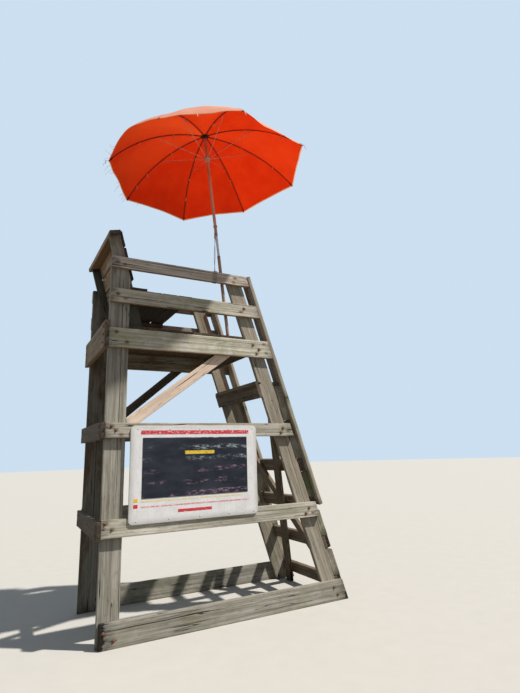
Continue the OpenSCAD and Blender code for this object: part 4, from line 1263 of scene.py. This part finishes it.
# the rib, the share of its reach, and the width of the tails
tied_at = [
    (0, 0.41, 1), (0, 0.77, 1.6), (1, 0.33, 1), (1, 0.66, 1.8), (2, 0.33, 1), (2, 0.60, 1), (2, 0.80, 1.2),
    (3, 0.40, 1), (3, 0.72, 1.3), (3, 0.86, 1), (4, 0.19, 3.2), (4, 0.35, 2.8), (4, 0.70, 1.5),
    (5, 0.45, 1.2), (5, 0.80, 1), (6, 0.27, 1.6), (6, 0.75, 1), (7, 0.45, 1), (7, 0.80, 1.2),
]
tapes = []
for k, share_out, width in tied_at:
    arc = arc_at(rib_reach * share_out)
    here, ahead = rib_lines([arc, arc + 0.003])[:, k]
    forward = unit(ahead - here)
    up = np.cross(forward, rib_side[k])
    tapes.append(carry(here + 0.0042 * spokes(turn, (rib_side[k], up)), ribbon * [0.0007, 0.0060], forward))
    for way in (-1, 1):
        length = scatter.uniform(0.022, 0.050)
        t = np.linspace(0, 1, 8)[:, None]
        lean_out = scatter.uniform(-0.3, 0.8) * way
        hanging = length * t * ([0, 0, -1] + lean_out * rib_side[k] * (1 - 0.5 * t))
        tail = here - 0.0045 * up + hanging + 0.004 * np.sin(5 * t) * forward + 0.002 * way * forward
        tapes.append(carry(tail, ribbon * [0.0004, 0.0050 * width], rib_side[k] + 0.2 * forward))
print(len(pockets), "pockets and", len(tapes), "tape ends")

# %% Fray the hem
# the gore, the column of the rim, the length in metres and how much it droops
frayed = [
    (3, 4, 0.060, 0.5), (3, 6, 0.050, 0.9), (3, 7, 0.075, 0.3), (3, 12, 0.070, 0.9), (3, 14, 0.045, 0.1),
    (3, 19, 0.060, 0.2), (3, 21, 0.080, 0.8), (3, 25, 0.070, 1.2), (4, 4, 0.060, 0.2), (4, 6, 0.085, -0.5),
    (4, 8, 0.055, -0.8), (4, 9, 0.045, 0.1), (2, 24, 0.040, 1.0), (6, 3, 0.055, 1.3), (6, 20, 0.045, 0.6),
    (6, 29, 0.060, 1.0), (6, 27, 0.050, 0.2), (7, 1, 0.040, 1.2),
]
white_ends = [
    (4, 0, 0.070, 0.2), (4, 0, 0.055, 1.1), (3, 31, 0.045, 0.7), (5, 15, 0.030, 1.6), (6, 0, 0.045, 1.4),
    (6, 1, 0.030, 0.8),
]
rim_points = canopy_sheet(np.array([arc_end]), gore_columns)[0][0]
threads_out = []
for k, (gore_number, column, length, droop) in enumerate(frayed + white_ends):
    here = rim_points[gore_number, column]
    away = unit((here - crown) * [1, 1, 0])
    t = np.linspace(0, 1, 12)[:, None]
    curl = scatter.uniform(-0.012, 0.012, 3) * np.sin(4 * t + scatter.uniform(0, 3))
    path = here + length * t * away * (1 - 0.3 * t) - droop * length * t ** 2 * [0, 0, 1] + curl * t
    thick = 0.0018 if k < len(frayed) else 0.0032
    threads_out.append(carry(path, circle(thick, 6), np.cross(away, [0, 0, 1]), 1 - 0.5 * t[:, 0]))
print(len(threads_out), "threads")

def plain_cloth(name, scale, detail, dark, light, roughness):
    """Cloth of one dye, uneven by a noise that runs from dark to light."""
    f = Finish(name, "canopy_cloth")
    return f.wear(Base_Color=f.mix(f.noise(f.place(), scale, detail), dark, light), Roughness=roughness)


# The tapes' light tan is partly their own colour and partly painted light, the sun shining through them.
tape_cloth = plain_cloth("tape_cloth", 60.0, 3.0, (0.78, 0.47, 0.20), (0.95, 0.66, 0.34), 0.9)
thread_cloth = plain_cloth("thread_cloth", 30.0, 2.0, (0.88, 0.20, 0.12), (0.95, 0.42, 0.30), 0.9)
white_cloth = plain_cloth("white_tie_cloth", 50.0, 3.0, (0.72, 0.70, 0.66), (0.88, 0.86, 0.82), 0.88)
pocket_fields = {"seam": np.ones(sum(len(skin[0]) for skin in pockets))}
small_parts = [
    make_piece("rib_pockets", pockets, cloth, fields=[pocket_fields]),
    make_piece("tie_tapes", tapes, tape_cloth),
    make_piece("frayed_threads", threads_out[:len(frayed)], thread_cloth),
    make_piece("white_ties", threads_out[len(frayed):], white_cloth),
]

# %% [markdown]
# The notice board is a painted sheet with rounded corners, screwed to the two rails. Its outline is
# a rounded rectangle that shrinks in a quarter circle over the edge and then towards the middle,
# front and back. A box with a bevel would do, but its outline couldn't wander as that of a sheet
# cut by hand does. A dark writing film and a few painted bars lie on it as thin plates of their
# own. The board carries no words.

# %% Cut a plate
def rounded_outline(width, height, radius, corner_steps=7, side_steps=10):
    """A rounded rectangle as points and outward directions: a corner point is the corner's centre
    plus the radius times its direction, and the straight sides are points between."""
    arc = np.radians(np.linspace(0, 90, corner_steps))
    reach = np.array([width, height]) / 2 - radius
    corners = []
    for k, sign in enumerate(((1, 1), (-1, 1), (-1, -1), (1, -1))):
        direction = np.stack([np.cos(arc + k * np.pi / 2), np.sin(arc + k * np.pi / 2)], -1)
        corners.append((sign * reach + radius * direction, direction))
    points, outward = [], []
    t = np.linspace(0, 1, side_steps + 1)[1:-1, None]
    for (corner, direction), (following, _) in zip(corners, corners[1:] + corners[:1]):
        points += [corner, corner[-1] + t * (following[0] - corner[-1])]
        outward += [direction, np.repeat(direction[-1:], len(t), 0)]
    return np.concatenate(points), np.concatenate(outward)


def plate(low, high, radius, edge, seed=None):
    """A flat plate in the X-Z plane between two corners: its outline is drawn in by the edge's
    quarter circle at the front and the back, and in towards the middle on both faces. A seed
    makes the outline wander a little."""
    low, high = np.array([low, high])
    outline, outward = rounded_outline(high[0] - low[0], high[2] - low[2], radius)
    if seed is not None:
        wander = smooth_wave(np.linspace(0, 1, len(outline)), seed, 8, 3.0, 14.0)[:, None]
        outline = outline - outward * 0.0012 * (1 + wander)
    quarter = np.radians([0, 25, 50, 75, 90])
    drawn, sunk = edge * (1 - np.cos(quarter)), edge * (1 - np.sin(quarter))
    inner = np.array([0.12, 0.35, 0.6, 0.82])[:, None, None]
    rims = outline - np.concatenate([drawn[::-1], drawn])[:, None, None] * outward
    rings = np.concatenate([rims[0] * (1 - inner[::-1]), rims, rims[-1] * (1 - inner)])
    flat = np.zeros(len(inner))
    depth = np.concatenate([high[1] - flat, high[1] - sunk[::-1], low[1] + sunk, low[1] + flat])[:, None]
    x, z = (rings[..., k] + (low[axis] + high[axis]) / 2 for k, axis in ((0, 0), (1, 2)))
    return close_rings(np.stack([x, depth + 0 * x, z], -1))


board_low, board_high = np.array(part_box("notice_board"))
panel_low, panel_high = np.array(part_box("writing_panel"))
print("board", np.round(board_high - board_low, 3), "film", np.round(panel_high - panel_low, 3), "m")

# %% Paint the notice board
half_board = (board_high - board_low) / 2
middle_of_board = (board_high + board_low) / 2
paint = Finish("board_paint", "board_white")
place = paint.place()
x, _, z = paint.add("SeparateXYZ", {0: place})
from_edges = [
    paint.math("SUBTRACT", half_board[k], paint.math("ABSOLUTE", axis - middle_of_board[k]))
    for k, axis in ((0, x), (2, z))
]
inward = paint.math("MINIMUM", *from_edges)
grime = paint.noise(place, 9.0, 6.0, 0.62)
speck = paint.noise(place, 85.0)
runs = paint.noise(place, (60.0, 1.0, 3.0), 4.0)
near_edge = paint.steps(inward + (grime - 0.5) * 0.10, 0.055, -0.01)
white = paint.coats(
    paint.mix(paint.steps(grime, 0.35, 0.75), (0.86, 0.85, 0.85), (0.74, 0.72, 0.71)),
    (paint.steps(runs, 0.52, 0.80, 0.0, 0.35), (0.56, 0.53, 0.49)),
    (near_edge * 0.55, (0.36, 0.33, 0.28)),
    (paint.steps(speck, 0.66, 0.74, 0.0, 0.6), (0.30, 0.26, 0.21)),
)
paint.wear(Base_Color=white, Roughness=paint.steps(grime, 0.3, 0.7, 0.38, 0.62))
paint.wear(Normal=paint.bump(speck, 0.0002))
sheet_skin = plate(board_low, board_high, 0.042, 0.0032, 3)
make_piece("board_sheet", [sheet_skin], paint, ["notice_board"])
print("board", len(sheet_skin[0]), "points")

# %% [markdown]
# The film is nearly black with a blue cast. Chalk dust has been wiped about on it for years, so
# it lies in long flat strokes: a noise drawn out sideways, kept to loose bands one above the
# other, and a grey bloom where the cloth has passed. The bars are sign paint that has flaked.

# %% Lay the writing film
film = Finish("writing_film", "panel_black")
place = film.place()
film_z = film.add("SeparateXYZ", {0: place})[2]
bloom = film.noise(place, (3.0, 1.0, 7.0), 5.0, 0.6)
strokes = film.noise(place, (22.0, 1.0, 70.0), 5.0, 0.7)
waver = film.noise(place, (2.0, 1.0, 1.0), 2.0)
patches = film.noise(place, (3.5, 1.0, 5.0), 2.0, 0.5, (4.0, 0, 1.5))
bands = film.math("PINGPONG", (film_z + waver * 0.05) * 20.0, 1.0)
wiped = film.steps(bands, 0.45, 0.75) * film.steps(strokes, 0.47, 0.62) * film.steps(patches, 0.38, 0.56)
chalk = film.mix(film.steps(film_z, 1.36, 1.44), (0.48, 0.30, 0.40), (0.50, 0.58, 0.60))
dark = film.mix(film.steps(bloom, 0.35, 0.75), (0.010, 0.012, 0.020), (0.034, 0.038, 0.055))
dark = film.mix(wiped * 0.62, dark, chalk)
film.wear(Base_Color=dark, Roughness=film.steps(bloom, 0.3, 0.7, 0.45, 0.70), Specular_IOR_Level=0.22)
make_piece("writing_film", [plate(panel_low, panel_high, 0.004, 0.0008)], film, ["writing_panel"])
film_share = np.prod((panel_high - panel_low)[[0, 2]]) / np.prod((board_high - board_low)[[0, 2]])
print("film over", round(100 * float(film_share)), "% of the board")

# %% Paint the bars
# name, corners (x from the posts' back, z), colour, how much has flaked, and if it is on the film
painted_bars = [
    ("yellow_key", (0.250, 1.076), (0.286, 1.107), (0.80, 0.52, 0.03), 0.30, False),
    ("red_key", (0.250, 1.029), (0.287, 1.060), (0.62, 0.02, 0.035), 0.30, False),
    ("yellow_bar", (0.311, 1.073), (1.285, 1.090), (0.78, 0.66, 0.34), 0.47, False),
    ("red_bar", (0.311, 1.030), (1.335, 1.042), (0.72, 0.25, 0.27), 0.46, False),
    ("head_bar", (0.300, 1.640), (1.345, 1.676), (0.62, 0.035, 0.06), 0.41, False),
    ("foot_bar", (0.640, 0.972), (0.960, 0.998), (0.60, 0.03, 0.05), 0.38, False),
    ("film_bar", (0.700, 1.464), (0.985, 1.494), (0.82, 0.56, 0.05), 0.40, True),
]
for name, low, high, colour, flaked, on_film in painted_bars:
    f = Finish(name + "_paint", "board_white")
    flakes = f.noise(f.place(), (70.0, 1.0, 110.0), 5.0, 0.7)
    behind = (0.03, 0.03, 0.04) if on_film else (0.80, 0.79, 0.79)
    kept = f.steps(flakes, flaked - 0.06, flaked + 0.06)
    f.wear(Base_Color=f.mix(kept, behind, colour), Roughness=0.5)
    face = panel_low[1] if on_film else board_low[1]
    near = (low[0] + back_of_posts, face - 0.0003, low[1])
    far = (high[0] + back_of_posts, face + 0.0002, high[1])
    make_piece(name, [plate(near, far, 0.002, 0.0002)], f)
print(len(painted_bars), "bars")

# %% [markdown]
# A thin rope ties the pole to the arm rail: nearly four turns round the rail, two parts of it up
# to the pole, and a little over two turns round the pole, with a knot at each end. Rope is three
# strands twisted together, so its profile has three lobes and rolls as it is carried along, once
# for each lay of the rope. A bevelled curve could only give it a smooth round skin.

# %% Twist a rope
rope_radius = 0.0028
rope_lay = 0.026
strand_angle = np.linspace(0, 2 * np.pi, 15, endpoint=False)
rope_profile = circle(rope_radius, 15) * (0.86 + 0.14 * np.cos(3 * strand_angle))[:, None]


def gaps(path):
    """The distances between a path's points."""
    return np.linalg.norm(np.diff(path, axis=0), axis=1)


def evenly(path, step):
    """A path's points again, at even steps of its length."""
    length = np.concatenate([[0], np.cumsum(gaps(path))])
    at = np.linspace(0, length[-1], max(4, int(length[-1] / step)))
    return np.stack([np.interp(at, length, column) for column in path.T], -1)


def rope(path, up, fray=0.0):
    """A length of rope along a path: the three-lobed profile, rolled by the length gone over the
    lay, and loosened towards its end by fray."""
    path = evenly(path, rope_radius)
    gone = np.linspace(0, 1, len(path))
    return carry(path, rope_profile, up, 1 + fray * gone ** 4, 2 * np.pi * gone * gaps(path).sum() / rope_lay)


print("rope", round(2000 * rope_radius, 1), "mm thick")

# %% Wind it round the rail and the pole
# round the rail it follows the outline, and moves on by more than its own width each time
rail_low, rail_high = np.array(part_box("right_arm_rail"))
rail_middle = (rail_low + rail_high) / 2 * [0, 1, 1]
first_turn_x = -0.1890
turn_step = 0.013
turns = np.linspace(-0.12, 3.62, 420)
bend_radius = 0.006
wound_size = (rail_high - rail_low)[1:] + 2 * (rope_radius + 0.0001)
outline, _ = rounded_outline(*wound_size, bend_radius, 7, 12)
outline = evenly(np.concatenate([outline, outline[:1]]), 0.002)
wound = [np.interp(turns % 1, np.linspace(0, 1, len(outline)), column) for column in outline.T]
round_rail = rail_middle + np.stack([first_turn_x - turn_step * turns, *wound], -1)
ring_rise = 1.186
ring_step = 0.0058
pole_there = 0.0163      # the pole's radius at the rope, with a little air
around = np.linspace(0, 2.3 * 2 * np.pi, 200)
rises = ring_rise + 0.0032 + ring_step * around / (2 * np.pi)
round_pole = pole_foot + rises[:, None] * pole_axes[2] + (pole_there + rope_radius) * spokes(around - 1.9)
print("wound", np.round([gaps(round_rail).sum(), gaps(round_pole).sum()], 2), "m")

# %% Add the leads, the knots and the tails
# the two leads twist about each other and hang slack by 6 and 12 mm
lead_low = np.array([first_turn_x - 0.0195, rail_middle[1], rail_high[2] + 0.0062])
ring_z = deck_top + ring_rise * math.cos(pole_tilt) + 0.003
lead_high = np.array([round_pole[0][0], pole_foot[1] - 0.0250, ring_z])
t = np.linspace(0, 1, 60)[:, None]
leads = []
for side, slack in ((-1, 0.006), (1, 0.012)):
    spread = side * 0.0032 * np.concatenate([np.cos(2.5 * np.pi * t), np.sin(2.5 * np.pi * t), 0 * t], 1)
    leads.append(lead_low + t * (lead_high - lead_low) + spread - slack * np.sin(np.pi * t) * [0.6, 0, 1])
w = np.linspace(0, 2 * np.pi, 90)[:-1]
trefoil = np.stack([np.sin(w) + 2 * np.sin(2 * w), np.cos(w) - 2 * np.cos(2 * w), -np.sin(3 * w)], -1)
trefoil = np.concatenate([trefoil, trefoil[:2]]) * [0.0026, 0.0024, 0.0030]
knots = [trefoil + at for at in (lead_low + [0, 0, 0.004], lead_high)]
hanging_ends = [
    (lead_high, (-0.3, -0.25, -1), 0.16), (lead_high, (0.25, -0.2, -1), 0.09),
    (lead_low, (0.9, -0.15, 0.05), 0.05),
]
tails = []
for start, aim, length in hanging_ends:
    aim = unit(np.array(aim))
    bend = length * np.concatenate([t * aim[0] * (1 - 0.6 * t), 0 * t, t * aim[2] + 0.10 * np.sin(3 * t)], 1)
    tails.append(start + bend + 0.008 * np.sqrt(t) * [0, -1, 0])
rope_skins = [rope(round_rail, [1.0, 0, 0]), rope(round_pole, pole_axes[2])]
rope_skins += [rope(path, [0.2, 1.0, 0]) for path in leads]
rope_skins += [rope(path, [0.1, 0.2, 1.0]) for path in knots]
rope_skins += [rope(path, [0.3, 1.0, 0.1], 0.8) for path in tails]
hemp = Finish("rope_hemp", "rope")
fuzz = hemp.noise(hemp.place(), 700.0)
soil = hemp.noise(hemp.place(), 40.0)
hemp_tint = hemp.coats(
    (0.55, 0.47, 0.37), (hemp.steps(soil, 0.35, 0.7), (0.30, 0.245, 0.19)),
    (hemp.steps(fuzz, 0.4, 0.7, 0.0, 0.4), (0.72, 0.64, 0.52)),
)
hemp.wear(Base_Color=hemp_tint, Roughness=0.92, Normal=hemp.bump(fuzz, 0.0004))
make_piece("tie_rope_strands", rope_skins, hemp, ["tie_rope"])
rope_length = sum(gaps(path).sum() for path in [round_rail, round_pole, *leads, *tails])
print("rope", round(float(rope_length), 2), "m")

# %% [markdown]
# Now the heads of the bolts and nails. All heads of one kind are the same small turned shape set
# on many places: the profile is turned about each place's outward direction, from a start angle
# drawn at random. A bolt's hexagon comes from its radius, which for a flat side is the inner
# radius over the cosine of the angle from the side's middle. Linked copies of one head would be
# lighter, but in one mesh they stay a single piece.

# %% Set the bolts and nails
def hexagon(angle, rise):
    """The factor that flattens six sides above the washer."""
    off = np.abs(angle % (np.pi / 3) - np.pi / 6)
    return np.where(rise > 0.0025, math.cos(np.pi / 6) / np.cos(off), 1.0)


def set_heads(name, places, outward, profile, sides, finish, notch=None):
    """One mesh of many heads: profile rows are (height above the face, radius) in millimetres."""
    helper = np.where(np.abs(outward[:, 2:]) > 0.9, [[1.0, 0, 0]], [[0, 0, 1.0]])
    side = unit(np.cross(helper, outward))
    third = np.cross(outward, side)
    spin = np.random.default_rng(len(places)).uniform(0, 1, len(places))[:, None] * 2 * np.pi
    axes = np.cos(spin) * side + np.sin(spin) * third, np.cos(spin) * third - np.sin(spin) * side, outward
    skins = [turned(mm * np.array(profile), place, sides, notch, own) for place, *own in zip(places, *axes)]
    return make_piece(name, skins, finish)


bolt_profile = [
    (-0.8, 11.5), (0.4, 13), (1.4, 13), (2, 12), (2.4, 9), (2.6, 8.4), (7.2, 8.4), (8.2, 7.6), (8.5, 4.5),
]
nail_profile = [(-0.8, 3), (-0.2, 4.4), (0.3, 4.4), (0.8, 3.8), (1.1, 1.8)]
screw_profile = [(-0.6, 5), (0.2, 6.2), (0.8, 6), (2, 4.4), (2.7, 2)]
screw_x = np.array([0.275, 0.560, 0.845, 1.130, 1.385]) + back_of_posts
screw_z = np.repeat([1.688, 0.925], len(screw_x))
screws, screws_out = in_rows(np.tile(screw_x, 2), board_low[1], screw_z, (0, -1, 0))
set_heads("bolts", bolts, bolts_out, bolt_profile, 24, fixing_steel, hexagon)
set_heads("nails", nails, nails_out, nail_profile, 10, fixing_steel)
set_heads("board_screws", screws, screws_out, screw_profile, 14, aluminium)
print(len(bolts), "bolts,", len(nails), "nails and", len(screws), "screws set")

# %% [markdown]
